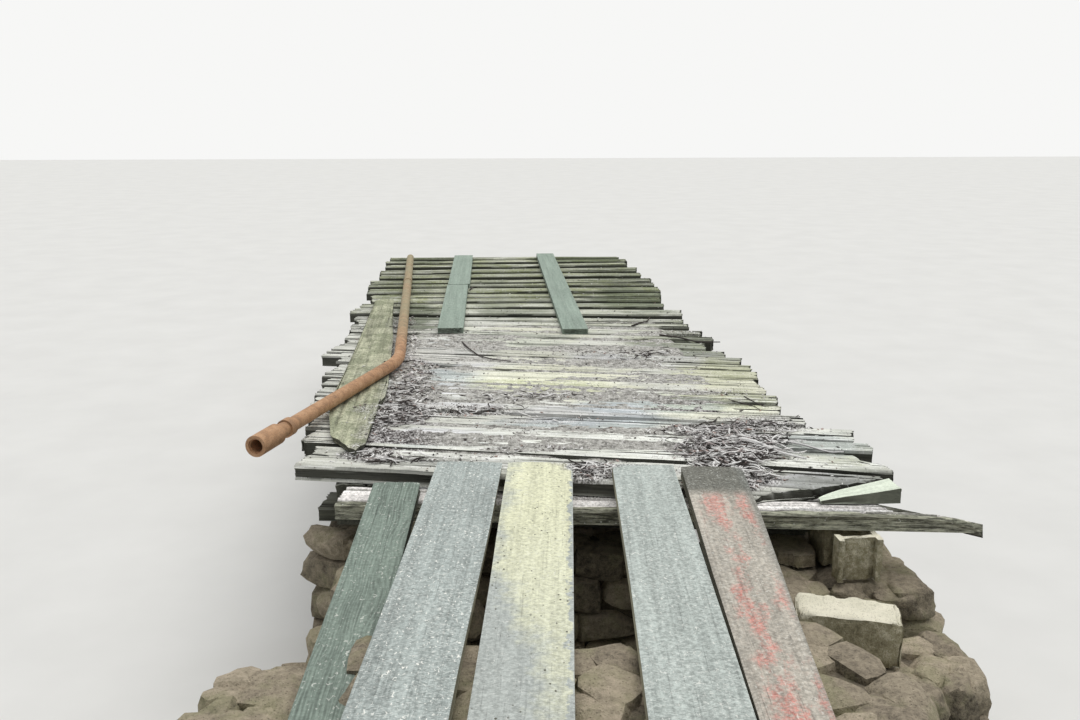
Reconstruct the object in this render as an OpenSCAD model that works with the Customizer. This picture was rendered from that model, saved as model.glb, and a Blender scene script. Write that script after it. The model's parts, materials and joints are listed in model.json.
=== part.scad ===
// Wooden footbridge: loose cross timbers on four stringers, two track boards, a plank
// approach, a bent steel pipe and a slab along one side, all on dry rubble abutments.
// X runs across the bridge, Y along it away from the approach, Z up from creek level.
// The origin lies under the near bearing wall, on the centre line of the bridge.

/* [Deck] */
// Height of the walking surface above the creek
deck_top = 1250; // [1200:10:1600]
// Thickness of a deck timber
timber_t = 80; // [74:1:88]
// Wear on the upper edges of a timber
edge_wear = 9; // [4:1:14]
// Depth of the ragged rot at a timber's ends
end_rot = 34; // [10:1:50]
// Length of the drying splits that open at a timber's ends
split_len = 200; // [80:10:300]
// Width of such a split at the end of the timber
split_w = 11; // [6:1:16]

/* [Carriers] */
// Width of a stringer
stringer_w = 180; // [140:5:200]
// Depth of a stringer
stringer_d = 200; // [160:5:220]
// Distance from the centre line to the outer stringers
stringer_out = 970; // [920:5:980]
// Distance from the centre line to the inner stringers
stringer_in = 330; // [250:5:420]
// Depth of the cross beam in front of the stringers
beam_d = 75; // [60:1:90]
// Width of that cross beam
beam_w = 230; // [200:5:240]
// Skew of the near end of the bridge, in degrees
near_skew = 7.6; // [6:0.1:11]

/* [Approach planks] */
// Thickness of an approach plank
plank_t = 45; // [38:1:50]
// Width of an approach plank
plank_w = 286; // [270:1:290]
// Length of an approach plank
plank_len = 3050; // [2600:10:3200]

/* [Track boards] */
// Thickness of a track board
board_t = 38; // [32:1:45]
// Width of a track board
board_w = 190; // [170:1:200]

/* [Pipe] */
// Outer diameter of the pipe
pipe_od = 73; // [60:1:89]
// Wall of the pipe
pipe_wall = 5; // [3:0.5:8]
// Radius of the pipe's bend
bend_r = 1100; // [600:50:1500]

/* [Rubble] */
// Height of one course of rubble
course_h = 150; // [120:5:200]
// Batter of a rubble face over its whole height
batter = 90; // [40:5:120]

/* [Hidden] */
$fn = 48;
timber_count = 31;
function two(n) = str(n < 10 ? "0" : "", n);
timber_names = [for (i = [1 : timber_count]) str("deck_timber_", two(i))];
stringer_names = ["stringer_left_outer", "stringer_left_inner",
                  "stringer_right_inner", "stringer_right_outer"];
plank_names = ["approach_plank_1", "approach_plank_2", "approach_plank_3",
               "approach_plank_4", "approach_plank_5"];

silver_wood = "#a9a693";
mossy_wood = "#9aa07c";
dark_wood = "#5f6058";
lichen_wood = "#b9b98c";
red_wood = "#6b5b54";
green_wood = "#8fa08c";
rust = "#8a5a3c";
concrete = "#9c927e";
stone = "#7c7568";

// Levels that the pieces share
seat = deck_top - timber_t;
sill_top = seat - stringer_d;
block_w = 194;
block_len = 397;
block_top = seat - beam_d;
wall_top = block_top - block_w;
sill_t = sill_top - wall_top;

// A repeatable value from 0 to 1 for a piece and a place on it
function chance(i, k) = let (v = sin(i * 127.1 + k * 311.7) * 437.585) v - floor(v);
function sum(v, i = 0) = i == len(v) - 1 ? v[i] : v[i] + sum(v, i + 1);

// Each deck timber, from the near end: centre on the bridge's axis, width, skew in
// degrees, reach to the left and to the right of that axis. A sixth value is how much
// a timber of uneven width gains per metre to the right.
deck_rows = [
    [ 170, 300, -13.0, 1260, 1430],
    [ 416, 148, -11.5, 1290, 1535,  56],
    [ 558, 105, -11.4, 1300, 1385, -54],
    [ 702, 145, -12.6, 1320, 1555],
    [ 900, 210, -12.5, 1330, 1545],
    [1125, 180, -13.0, 1360, 1365],
    [1330, 175, -13.0, 1355, 1300],
    [1545, 170, -13.0, 1340, 1355],
    [1735, 170, -13.0, 1365, 1335],
    [1925, 170, -13.0, 1325, 1345],
    [2115, 170, -13.0, 1330, 1395],
    [2300, 165, -13.0, 1440, 1400],
    [2485, 165, -13.0, 1400, 1390],
    [2690, 175, -13.0, 1330, 1330],
    [2890, 175, -12.5, 1345, 1250],
    [3110, 150, -11.5, 1330, 1350],
    [3305, 130, -10.0, 1335, 1315],
    [3500, 150,  -8.5, 1310, 1260],
    [3685, 130,  -7.0, 1340, 1270],
    [4000, 220,  -5.5, 1390, 1325],
    [4300, 170,  -4.0, 1335, 1235],
    [4545, 165,  -3.0, 1265, 1260],
    [4790, 160,  -2.0, 1275, 1300],
    [5070, 190,  -1.5, 1330, 1335],
    [5350, 130,  -1.0, 1350, 1345],
    [5585, 165,  -0.5, 1355, 1365],
    [5950, 180,   0.0, 1290, 1320],
    [6290, 190,   0.5, 1310, 1350],
    [6630, 170,   0.0, 1280, 1290],
    [6960, 150,  -0.8, 1300, 1335],
    [7170, 120,  -1.5, 1265, 1280]];

// Ragged end of a timber: points across its width, worn back from its reach
end_steps = 5;
function ragged_end(i, side, reach, w) =
    [for (k = [0 : end_steps])
        [side * (reach - end_rot * chance(i, k + 9 * side)), side * w * (k / end_steps - 0.5)]];

// A split: a thin wedge that opens at the end of the timber
module split(i, side, reach, w) {
    along = w * (chance(i, 31 + side) - 0.5) * 0.6;
    deep = split_len * (0.5 + chance(i, 37 + side));
    polygon([[side * (reach + 5), along - split_w / 2],
             [side * (reach - deep), along + split_w / 3],
             [side * (reach + 5), along + split_w / 2]]);
}

// Section of a sawn timber with worn upper edges, lying on its seat
module worn_section(w, t, wear) {
    polygon([[-w / 2, 0], [w / 2, 0], [w / 2, t - 2 * wear], [w / 2 - wear, t - wear / 3],
             [w / 2 - 3 * wear, t], [3 * wear - w / 2, t], [wear - w / 2, t - wear / 3],
             [-w / 2, t - 2 * wear]]);
}

module deck_timber(i) {
    row = deck_rows[i];
    gain = len(row) > 5 ? row[5] / 1000 : 0;
    left_w = row[1] - gain * row[3];
    right_w = row[1] + gain * row[4];
    thick = timber_t - 7 * chance(i, 3) * (i > 1 ? 1 : 0);
    far_reach = max(row[3], row[4]) + end_rot;
    color(i % 3 == 0 ? mossy_wood : silver_wood)
    translate([0, row[0], seat]) rotate([0, 0, row[2]])
    intersection() {
        translate([-far_reach, 0, 0]) rotate([90, 0, 90])
            linear_extrude(2 * far_reach)
                worn_section(max(left_w, right_w), thick, edge_wear);
        linear_extrude(timber_t) difference() {
            polygon(concat(ragged_end(i, 1, row[4], right_w), ragged_end(i, -1, row[3], left_w)));
            split(i, 1, row[4], right_w);
            split(i, -1, row[3], left_w);
            if (i == 0) rotted_corner();
            if (i == 1) split_off_corner();
        }
        if (i == 0) rotted_slope();
    }
}

// The front timber's right end has rotted back to a narrow tongue
module rotted_corner() {
    polygon([[790, -170], [885, -84], [1065, -21], [1252, 55], [1440, 120], [1510, -170]]);
}

// and its top there has rotted to a slope that falls towards the front
module rotted_slope() {
    difference() {
        translate([-1400, -200, -1]) cube([3000, 400, timber_t + 2]);
        translate([775, -84, 35]) rotate([10.8, 0.7, 0])
            translate([0, -400, 0]) cube([1000, 800, 200]);
    }
}

// The second timber has split at its right end and lost the back half
module split_off_corner() {
    polygon([[1380, 140], [1398, 24], [1590, 20], [1590, 140]]);
}

module stringer(x) {
    long = 7330;
    color(dark_wood)
    translate([x, 0, sill_top]) intersection() {
        rotate([90, 0, 0]) translate([0, 0, -long])
            linear_extrude(long + 700) worn_section(stringer_w, stringer_d, 6);
        linear_extrude(stringer_d)
            polygon([[-stringer_w, near_line(x - stringer_w)], [stringer_w, near_line(x + stringer_w)],
                     [stringer_w, long], [-stringer_w, long - 20]]);
    }
}

// The skewed line at the back of the cross beam, where the stringers start
beam_front = -143;
function near_line(x) = beam_front + beam_w + 12 - x * tan(near_skew);

module cross_beam() {
    left = -1050;
    right = 1745;
    color(dark_wood)
    translate([0, beam_front, block_top]) rotate([0, 0, -near_skew])
    intersection() {
        translate([left, beam_w / 2, 0]) rotate([90, 0, 90])
            linear_extrude(right - left) worn_section(beam_w, beam_d, 6);
        rotate([90, 0, 0]) translate([0, 0, -beam_w]) linear_extrude(beam_w)
            polygon([[left, 0], [1680, 0], [1725, 4], [right, 14], [right - 8, 26], [1685, 38],
                     [1630, 53], [1570, 63], [1490, 68], [1400, beam_d], [left, beam_d]]);
        linear_extrude(beam_d)
            polygon([[left, 0], [1400, 4], [1600, 18], [right - 20, 38], [right, 48],
                     [right - 14, 66], [1640, 80], [1500, 70], [1390, 62], [1330, 110],
                     [1290, beam_w], [left + 18, beam_w], [left - 10, 110]]);
    }
}

// A piece split from a timber, which lies on the beam with its right end up
module loose_timber() {
    color(silver_wood)
    translate([1200, -120, seat]) intersection() {
        rotate([90, 0, 0]) translate([0, 0, -90]) linear_extrude(180)
            polygon([[-215, 0], [225, 0], [228, 40], [215, 70], [60, 46], [-120, 20], [-215, 6]]);
        linear_extrude(timber_t)
            polygon([[-215, -74], [0, -70], [224, -71], [234, -10], [228, 66], [-13, 35],
                     [-192, -29], [-215, -48]]);
    }
}

// Approach planks: far end's left corner, yaw in degrees, width, length, seat
plank_rows = [
    [-875,  130, 2.6, 212, 2150, seat],
    [-590,  165, 5.8, plank_w, plank_len, deck_top],
    [-267,  128, 5.7, plank_w, plank_len, deck_top],
    [ 186,   70, 5.3, plank_w - 10, plank_len, deck_top],
    [ 485,   12, 5.55, plank_w - 14, plank_len, deck_top]];

module approach_plank(i) {
    row = plank_rows[i];
    long = row[4];
    w = row[3];
    left_out = i == 4 ? 6 : 0;
    near_in = i == 4 ? 72 : i == 3 ? -4 : 0;
    mid_in = i == 4 ? 46 : i == 3 ? -8 : 3;
    color(i == 2 ? lichen_wood : i == 4 ? red_wood : dark_wood)
    translate([row[0], row[1], row[5]]) rotate([0, 0, -row[2]])
    intersection() {
        translate([w / 2, 0, 0]) rotate([90, 0, 0])
            linear_extrude(long + 20) worn_section(w + 2 * max(left_out, -mid_in), plank_t, 3);
        translate([0, -long, 0]) linear_extrude(plank_t)
            polygon([[-left_out / 2, 4], [w * 0.4, 0], [w - near_in, 9], [w - mid_in, long * 0.4],
                     [w, long - 12], [w * 0.7, long - 4], [w * 0.3, long], [2, long - 7],
                     [5 - left_out * 2, long * 0.6], [-left_out, long * 0.35]]);
    }
}

// Track boards: near end's left corner, far end's left corner, width
board_near = 3160;
module track_board(near, far, w) {
    yaw = atan2(near[0] - far[0], far[1] - near[1]);
    long = norm(far - near);
    color(green_wood)
    translate([near[0], near[1], deck_top]) rotate([0, 0, yaw])
    linear_extrude(board_t)
        polygon([[0, 6], [w * 0.5, 0], [w, 8], [w, long - 5], [w * 0.4, long], [0, long - 9]]);
}

module track_board_right() {
    track_board([252, board_near - 100], [352, 7190], board_w);
}
module track_board_left_near() {
    track_board([-652, board_near], [-602, 5130], board_w);
}
module track_board_left_far() {
    track_board([-598, 5140], [-545, 7110], board_w + 10);
}

// A wany slab on the timbers' left ends, rotted to an uneven outline
slab_t = 25;
module side_slab() {
    color(lichen_wood)
    translate([0, 0, deck_top]) linear_extrude(slab_t)
        polygon([[-1205, 4480], [-1185, 3620], [-1175, 2980], [-1165, 2390], [-1158, 1600],
                 [-1200, 1340], [-1165, 890], [-1145, 640], [-1060, 450], [-975, 405],
                 [-925, 520], [-930, 670],
                 [-970, 905], [-955, 1055], [-905, 1375], [-905, 1640], [-930, 2220],
                 [-942, 2865], [-985, 3700], [-1005, 4450], [-1090, 4500]]);
}

// Pipe: straight from the far end, one gentle bend, straight off over the left edge.
// It rests on the far timbers and on the slab, so it rises towards the near end.
pipe_far = [-1018, 6950];
pipe_yaw = 1.8;
bend_turn = 20;
far_run = 4690;
near_run = 1600;
pipe_pitch = 0.287;
module on_pipe_line() {
    translate([pipe_far[0], pipe_far[1], deck_top + pipe_od / 2])
        rotate([-pipe_pitch, 0, 0]) rotate([0, 0, pipe_yaw]) children();
}
// Moves children to a distance past the bend, with their Z along the pipe
module past_bend(along) {
    translate([-bend_r, -far_run, 0]) rotate([0, 0, -bend_turn])
        translate([bend_r, -along, 0]) rotate([90, 0, 0]) children();
}
module tube(len, d) {
    difference() {
        cylinder(d = d, h = len);
        translate([0, 0, -1]) cylinder(d = d - 2 * pipe_wall, h = len + 2);
    }
}
module pipe_far_run() {
    color(rust) on_pipe_line() rotate([90, 0, 0]) tube(far_run, pipe_od);
}
module pipe_bend() {
    $fn = 144;
    color(rust) on_pipe_line()
        translate([-bend_r, -far_run, 0]) rotate([0, 0, -bend_turn])
            rotate_extrude(angle = bend_turn) translate([bend_r, 0]) difference() {
                circle(d = pipe_od);
                circle(d = pipe_od - 2 * pipe_wall);
            }
}
module pipe_near_run() {
    color(rust) on_pipe_line() past_bend(0) tube(near_run, pipe_od);
}

coupling_len = 90;
coupling_d = pipe_od + 18;
module coupling(len, d) {
    difference() {
        cylinder(d = d, h = len);
        translate([0, 0, -1]) cylinder(d = pipe_od, h = len + 2);
    }
}
module pipe_couplings() {
    color(rust) on_pipe_line() {
        rotate([90, 0, 0]) translate([0, 0, 1640]) coupling(100, pipe_od + 8);
        past_bend(near_run - 330) coupling(coupling_len * 0.6, coupling_d);
        past_bend(near_run - 190) coupling(200, coupling_d + 12);
    }
}

// A hollow concrete block with two cores and a recess in each end. A broken one has
// lost the left shell of its front core.
module hollow_block(broken) {
    shell = 32;
    web = 30;
    core = (block_len - 2 * 28 - 3 * web) / 2;
    difference() {
        translate([-block_w / 2, 0, 0]) cube([block_w, block_len, block_w]);
        for (y = [28 + web, 28 + 2 * web + core])
            translate([shell - block_w / 2, y, -1])
                cube([block_w - 2 * shell, core, block_w + 2]);
        for (y = [-1, block_len - 28])
            translate([shell - block_w / 2, y, -1])
                cube([block_w - 2 * shell, 29, block_w + 2]);
        if (broken)
            translate([-block_w / 2 - 1, 72, -1]) cube([shell + 2, 100, block_w + 2]);
    }
}
module hollow_blocks() {
    color(concrete) {
        translate([1174, -395, wall_top]) hollow_block(true);
        translate([-700, -85, wall_top]) hollow_block(false);
    }
}

// A solid block that fell on its side, with broken corners
fallen_seat = 806;
module fallen_block() {
    color(concrete) translate([975, -795, fallen_seat]) rotate([0, 0, -17])
    intersection() {
        linear_extrude(block_w)
            polygon([[-199, -90], [-184, -98], [150, -96], [196, -80], [199, 60], [182, 96],
                     [-60, 98], [-190, 92], [-198, 70]]);
        rotate([90, 0, 0]) translate([0, 0, -100]) linear_extrude(200)
            polygon([[-199, 0], [199, 0], [199, block_w - 24], [176, block_w - 5], [60, block_w],
                     [-180, block_w], [-199, block_w - 14]]);
    }
}

// Flat stones under the right stringer's end and beside the fallen block
module bearing_stones() {
    color(stone) {
        translate([0, 0, wall_top]) linear_extrude(sill_t)
            polygon([[862, -10], [880, -190], [960, -250], [1050, -240], [1064, -60], [1058, 60],
                     [980, 120], [880, 90]]);
        translate([0, 0, fallen_seat]) linear_extrude(70)
            polygon([[806, -470], [830, -590], [950, -612], [1050, -560], [1062, -440], [930, -420]]);
    }
}

// A sill under the stringers' ends, on top of a rubble wall
module sill(y, skew) {
    color(dark_wood) translate([0, y, wall_top]) rotate([0, 0, -skew])
    translate([-1180, 0, 0]) rotate([90, 0, 90]) linear_extrude(2360)
        worn_section(240, sill_t, 5);
}
module near_sill() {
    sill(430, near_skew);
}
module far_sill() {
    sill(7140, 0);
}

// Dry rubble in courses: each is an uneven outline, drawn in as the wall rises
function centre(outline) = sum(outline) / len(outline);
function course_outline(outline, k, drawn_in, seed) =
    [for (j = [0 : len(outline) - 1])
        let (p = outline[j], inward = (centre(outline) - p) / norm(centre(outline) - p))
        p + inward * drawn_in
          + [chance(seed + k, 2 * j) - 0.5, chance(seed + k, 2 * j + 1) - 0.5] * 46];
module rubble(outline, top, seed, lean = batter) {
    courses = round(top / course_h);
    h = top / courses;
    color(stone)
    for (k = [0 : courses - 1])
        translate([0, 0, k * h]) linear_extrude(h)
            polygon(course_outline(outline, k, lean * k / courses, seed));
}

module near_bearing_wall() {
    rubble([[-1290, 300], [-900, 60], [-420, -60], [60, -120], [460, -90], [690, 0], [715, 430],
            [700, 850], [250, 890], [-200, 880], [-800, 950], [-1230, 960]],
           wall_top, 1, 2 * batter);
}
module near_cheek() {
    rubble([[-1080, -310], [-880, -420], [-500, -400], [-410, -150], [-430, -60], [-900, 20],
            [-1110, 90]], wall_top, 12);
}
module near_wing() {
    color(stone) {
        rubble([[750, -560], [1050, -480], [1480, -560], [1540, -200], [1500, 240], [1390, 620],
                [1270, 880], [770, 900], [755, 400]], wall_top, 23);
        rubble([[700, -1230], [1100, -1210], [1500, -1080], [1530, -620], [1060, -520],
                [720, -610]], fallen_seat, 34);
    }
}
module approach_footing() {
    rubble([[-860, -1290], [-300, -1330], [300, -1300], [690, -1290], [900, -1700], [860, -2300],
            [760, -2740], [100, -2780], [-500, -2800], [-1010, -2740], [-930, -2100]],
           deck_top, 45);
    rubble([[-1230, -1290], [-900, -1280], [-960, -2050], [-1050, -2700], [-1400, -2600],
            [-1360, -1900]], seat, 56);
}
module far_abutment() {
    rubble([[-1290, 6820], [-700, 6760], [0, 6800], [640, 6770], [1270, 6830], [1330, 7140],
            [1280, 7440], [500, 7480], [-400, 7470], [-1290, 7450]], wall_top, 67);
}

for (i = [0 : timber_count - 1]) deck_timber(i);
stringer_places = [-stringer_out, -stringer_in, stringer_in, stringer_out];
for (i = [0 : 3]) stringer(stringer_places[i]);
for (i = [0 : 4]) approach_plank(i);
track_board_right();
track_board_left_far();
track_board_left_near();
cross_beam();
loose_timber();
side_slab();
pipe_far_run();
pipe_bend();
pipe_near_run();
pipe_couplings();
hollow_blocks();
fallen_block();
bearing_stones();
near_sill();
far_sill();
near_bearing_wall();
near_cheek();
near_wing();
approach_footing();
far_abutment();
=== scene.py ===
import json
import math

import bpy
import bmesh
import numpy as np
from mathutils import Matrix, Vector
from mathutils.bvhtree import BVHTree

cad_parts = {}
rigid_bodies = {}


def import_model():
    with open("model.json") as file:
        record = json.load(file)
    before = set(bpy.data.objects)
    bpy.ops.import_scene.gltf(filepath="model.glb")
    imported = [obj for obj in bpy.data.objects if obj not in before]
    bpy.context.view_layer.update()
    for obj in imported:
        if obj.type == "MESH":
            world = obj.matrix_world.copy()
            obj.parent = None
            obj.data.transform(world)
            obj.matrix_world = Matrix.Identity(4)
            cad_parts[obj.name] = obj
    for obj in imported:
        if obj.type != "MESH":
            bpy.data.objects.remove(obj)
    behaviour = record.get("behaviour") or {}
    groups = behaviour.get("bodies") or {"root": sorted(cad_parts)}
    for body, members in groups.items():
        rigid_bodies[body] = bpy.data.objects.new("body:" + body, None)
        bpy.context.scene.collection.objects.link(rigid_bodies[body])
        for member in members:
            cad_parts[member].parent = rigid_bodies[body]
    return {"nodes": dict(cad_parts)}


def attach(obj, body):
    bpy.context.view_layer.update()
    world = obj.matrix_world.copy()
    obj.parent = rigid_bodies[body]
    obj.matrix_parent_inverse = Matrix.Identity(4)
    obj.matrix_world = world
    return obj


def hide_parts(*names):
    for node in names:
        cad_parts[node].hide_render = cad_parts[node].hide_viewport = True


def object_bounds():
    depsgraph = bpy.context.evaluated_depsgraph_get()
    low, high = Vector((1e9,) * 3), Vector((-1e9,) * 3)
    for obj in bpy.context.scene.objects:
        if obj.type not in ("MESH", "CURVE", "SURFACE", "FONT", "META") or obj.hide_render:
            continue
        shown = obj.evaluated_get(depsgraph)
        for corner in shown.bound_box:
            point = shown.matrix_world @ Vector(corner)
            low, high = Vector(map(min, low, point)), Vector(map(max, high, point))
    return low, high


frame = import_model()
cad_low, cad_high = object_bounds()

# Levels of the bridge, in metres above the creek
DECK_TOP = 1.25
BEAM_TOP = 1.17
BLOCK_FOOT = 0.901
WING_TOP = 0.806
SLAB_LEVEL = 1.266

TIMBERS = [f"deck_timber_{i:02d}" for i in range(1, 32)]
STRINGERS = ["stringer_left_outer", "stringer_left_inner",
             "stringer_right_inner", "stringer_right_outer"]

NEAR_SKEW = 0.231    # the deck's near edge runs along y = -NEAR_SKEW * x
JOINT_SKEW = 0.22    # and so, roughly, do its joints
CLEAR = 0.001        # kept between the dressed pieces and the outside of their solids
RAY_START = 0.1      # how far outside a solid the rays that measure it begin
ROUND = 6.3          # a little over one full turn, for random headings


# Repeatable noise

HASH_START, HASH_STEP, HASH_MIX = 2166136261, 16777619, 2246822519
HASH_RANGE = 4294967296.0


def hashed(*keys):
    """A value from 0 to 1 for whole-number keys, the same in every run."""
    low = np.uint64(0xFFFFFFFF)
    h = np.uint64(HASH_START)
    for key in keys:
        k = np.asarray(key).astype(np.int64).astype(np.uint64) & low
        h = ((h ^ k) * np.uint64(HASH_STEP)) & low
        h = ((h ^ (h >> np.uint64(15))) * np.uint64(HASH_MIX)) & low
        h = h ^ (h >> np.uint64(13))
    return h.astype(float) / HASH_RANGE


def noise(x, y, z=0.0, seed=0):
    """Smooth value noise from 0 to 1."""
    x, y, z = np.broadcast_arrays(np.asarray(x, float), np.asarray(y, float), np.asarray(z, float))
    xi, yi, zi = np.floor(x), np.floor(y), np.floor(z)
    fx, fy, fz = x - xi, y - yi, z - zi
    fx, fy, fz = (f * f * (3 - 2 * f) for f in (fx, fy, fz))
    total = np.zeros(x.shape)
    for dx in (0, 1):
        for dy in (0, 1):
            for dz in (0, 1):
                weight = (fx if dx else 1 - fx) * (fy if dy else 1 - fy) * (fz if dz else 1 - fz)
                total += weight * hashed(xi + dx, yi + dy, zi + dz, seed)
    return total


def fbm(x, y, z=0.0, seed=0, octaves=3):
    """Layered noise from 0 to 1."""
    total, reach, size = 0.0, 0.0, 1.0
    for o in range(octaves):
        total = total + size * noise(np.asarray(x) * 2 ** o, np.asarray(y) * 2 ** o,
                                     np.asarray(z) * 2 ** o, seed + 71 * o)
        reach += size
        size *= 0.5
    return total / reach


def rise(value, start, end):
    """0 before start, 1 after end, smooth between."""
    f = np.clip((np.asarray(value, float) - start) / (end - start), 0, 1)
    return f * f * (3 - 2 * f)


def jitter(rng, amount):
    """A random shift of up to half the amount, either way."""
    return amount * (rng.random() - 0.5)


# Where the deck is mossy, bluish or littered: centre x and y, radii and amount
MOSS = [(0.0, 1.62, 0.45, 0.22, 0.7), (1.1, 2.6, 0.5, 1.0, 0.55), (0.9, 1.25, 0.5, 0.22, 0.7),
        (-0.5, 1.42, 0.25, 0.1, 0.5), (1.35, 0.3, 0.3, 0.2, 0.5), (0.6, 3.7, 0.7, 0.5, 0.5)]
COOL = [(-0.75, 1.9, 0.35, 0.28, 0.9), (0.5, 1.15, 0.45, 0.14, 0.9), (0.2, 0.88, 0.55, 0.12, 0.9),
        (-0.55, 0.62, 0.3, 0.1, 0.5), (1.25, 0.42, 0.3, 0.2, 0.7), (-0.2, 2.9, 0.5, 0.3, 0.5)]
LITTER = [(-0.86, 2.75, 0.10, 0.5, 0.7), (-0.78, 2.05, 0.13, 0.4, 0.9),
          (-0.77, 1.5, 0.18, 0.32, 0.95), (-0.84, 1.08, 0.22, 0.18, 1.0),
          (-0.55, 1.14, 0.3, 0.10, 0.7), (-0.92, 0.72, 0.09, 0.16, 0.8),
          (-0.92, 0.42, 0.12, 0.12, 0.9), (-0.55, 0.60, 0.4, 0.05, 0.25),
          (-0.62, 0.36, 0.35, 0.06, 0.3), (-0.1, 1.38, 0.36, 0.07, 0.4),
          (0.0, 0.93, 0.4, 0.07, 0.3), (-0.16, 0.45, 0.26, 0.045, 0.75),
          (0.68, 2.22, 0.35, 0.09, 0.3), (0.42, 2.47, 0.4, 0.07, 0.25),
          (0.95, 1.4, 0.25, 0.08, 0.35), (0.95, 0.74, 0.36, 0.11, 0.9),
          (0.9, 0.55, 0.26, 0.11, 1.0), (0.80, 0.36, 0.24, 0.13, 1.0),
          (0.72, 0.18, 0.16, 0.10, 1.0), (0.82, 0.02, 0.12, 0.08, 1.0),
          (0.09, 0.13, 0.15, 0.13, 0.95), (0.38, 0.08, 0.2, 0.05, 0.5),
          (1.1, 3.1, 0.25, 0.1, 0.4), (-0.94, 3.6, 0.1, 0.5, 0.5), (1.1, 0.86, 0.3, 0.06, 0.5)]

# Colour fields of the deck: warm beige, pale, painted shadow of plants and trees with some dark
# moss, and lavender
WARM = [(0.08, 1.78, 0.5, 0.5, 0.9), (-0.08, 3.05, 0.5, 0.4, 0.6), (1.2, 1.75, 0.4, 0.5, 0.9),
        (0.9, 1.05, 0.4, 0.16, 0.7), (-0.3, 2.5, 0.6, 0.3, 0.4)]
PALE = [(1.2, 0.15, 0.35, 0.09, 0.9), (0.25, 0.32, 0.6, 0.3, 0.9), (-0.45, 0.5, 0.35, 0.3, 0.8),
        (0.85, 1.1, 0.5, 0.2, 0.9), (-0.45, 1.55, 0.3, 0.45, 0.7), (1.35, 0.5, 0.2, 0.2, 0.7),
        (0.5, 0.6, 0.4, 0.15, 1.0), (0.0, 1.6, 0.5, 0.25, 0.8), (-0.2, 1.8, 0.4, 0.3, 0.5),
        (-0.5, 3.2, 0.25, 0.2, 0.7), (0.1, 1.35, 0.6, 0.25, 0.7), (-0.1, 0.62, 0.8, 0.3, 0.7),
        (0.75, 2.42, 0.3, 0.15, 0.7)]
SHADOW_PATCHES = [(1.25, -0.03, 0.32, 0.09, 0.6), (0.0, 5.5, 0.9, 1.3, 0.4), (1.05, 4.55, 0.45, 0.6, 1.0),
        (1.05, 5.9, 0.4, 0.8, 0.6), (0.95, 7.1, 0.6, 0.3, 1.3), (0.0, 3.95, 0.25, 0.3, 0.6),
        (-0.85, 3.9, 0.22, 0.6, 0.95), (-1.05, 5.3, 0.4, 0.6, 0.6), (-0.85, 7.1, 0.3, 0.3, 0.8),
        (0.7, 4.3, 0.3, 0.25, 0.6), (-0.15, 4.1, 0.2, 0.45, 0.6), (-0.2, 5.5, 0.2, 0.2, 0.7),
        (1.3, 2.75, 0.25, 0.9, 0.5), (1.08, 2.65, 0.35, 0.3, 0.7), (1.45, 1.1, 0.1, 0.5, 0.6)]
LAVENDER = [(1.15, -0.02, 0.3, 0.08, 1.2), (0.75, 2.35, 0.5, 0.35, 0.8),
            (-0.6, 2.5, 0.35, 0.45, 0.8), (-0.5, 1.45, 0.35, 0.3, 0.8),
            (-0.68, 0.75, 0.25, 0.08, 0.8), (0.2, 1.05, 0.4, 0.2, 0.6),
            (1.3, 2.2, 0.3, 0.12, 0.5)]


def patches(x, y, spots, seed):
    """How strongly a place lies in soft, uneven patches, from 0 to 1."""
    edge = 0.9 * (fbm(x * 7, y * 11, seed=seed) - 0.5)
    total = np.zeros(np.broadcast(x, y).shape)
    for cx, cy, rx, ry, amount in spots:
        away = np.sqrt(((x - cx) / rx) ** 2 + ((y - cy) / ry) ** 2)
        total = np.maximum(total, amount * rise(1.25 - away + edge, 0.0, 0.55))
    return total


def moss_and_tree_shade_at(x, y):
    # Moss thickens towards the far end; this darkening is partly painted shade of the trees
    far = 0.75 * rise(y, 3.3, 4.9) + 0.15
    return np.maximum(far * (0.5 + fbm(x * 3, y * 5, seed=3)), patches(x, y, MOSS, 5))


def cool_at(x, y):
    return patches(x, y, COOL, 6)


def zones_at(x, y):
    return np.stack([patches(x, y, spots, 8 + k) for k, spots in
                     enumerate([WARM, PALE, SHADOW_PATCHES, LAVENDER])], -1)


def litter_at(x, y):
    inside = rise(y, -0.16, -0.06) * (1 - rise(y, 3.7, 4.3))
    return patches(x, y, LITTER, 7) * inside


# Meshes

def shown(name, data):
    made = bpy.data.objects.new(name, data)
    bpy.context.scene.collection.objects.link(made)
    return made


def mesh_object(name, verts, faces, material, sharp=42, **attributes):
    """A smooth mesh, sharp where it bends by more than that many degrees."""
    mesh = bpy.data.meshes.new(name)
    mesh.from_pydata(np.asarray(verts).tolist(), [], faces)
    mesh.validate()
    mesh.update()
    for key, values in attributes.items():
        values = np.asarray(values, np.float32)
        kinds = {1: ("FLOAT", "value"), 3: ("FLOAT_VECTOR", "vector"), 4: ("FLOAT_COLOR", "color")}
        kind, field = kinds[1 if values.ndim == 1 else values.shape[1]]
        layer = mesh.attributes.new(key, kind, "POINT")
        layer.data.foreach_set(field, values.ravel())
    mesh.shade_smooth()
    if sharp:
        mesh.set_sharp_from_angle(angle=math.radians(sharp))
    mesh.materials.append(material)
    return shown(name, mesh)


def add_piece(piece, slot, *replaced):
    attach(piece, "root")
    if replaced:
        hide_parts(*replaced)
    return piece


def mesh_arrays(mesh):
    """Corners and triangles of a mesh."""
    mesh.calc_loop_triangles()
    co = np.zeros(len(mesh.vertices) * 3)
    mesh.vertices.foreach_get("co", co)
    tris = np.zeros(len(mesh.loop_triangles) * 3, int)
    mesh.loop_triangles.foreach_get("vertices", tris)
    return co.reshape(-1, 3), tris.reshape(-1, 3)


def node_mesh(name):
    return mesh_arrays(frame["nodes"][name].data)


def search_tree(co, tris):
    return BVHTree.FromPolygons(co.tolist(), tris.tolist())


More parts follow.
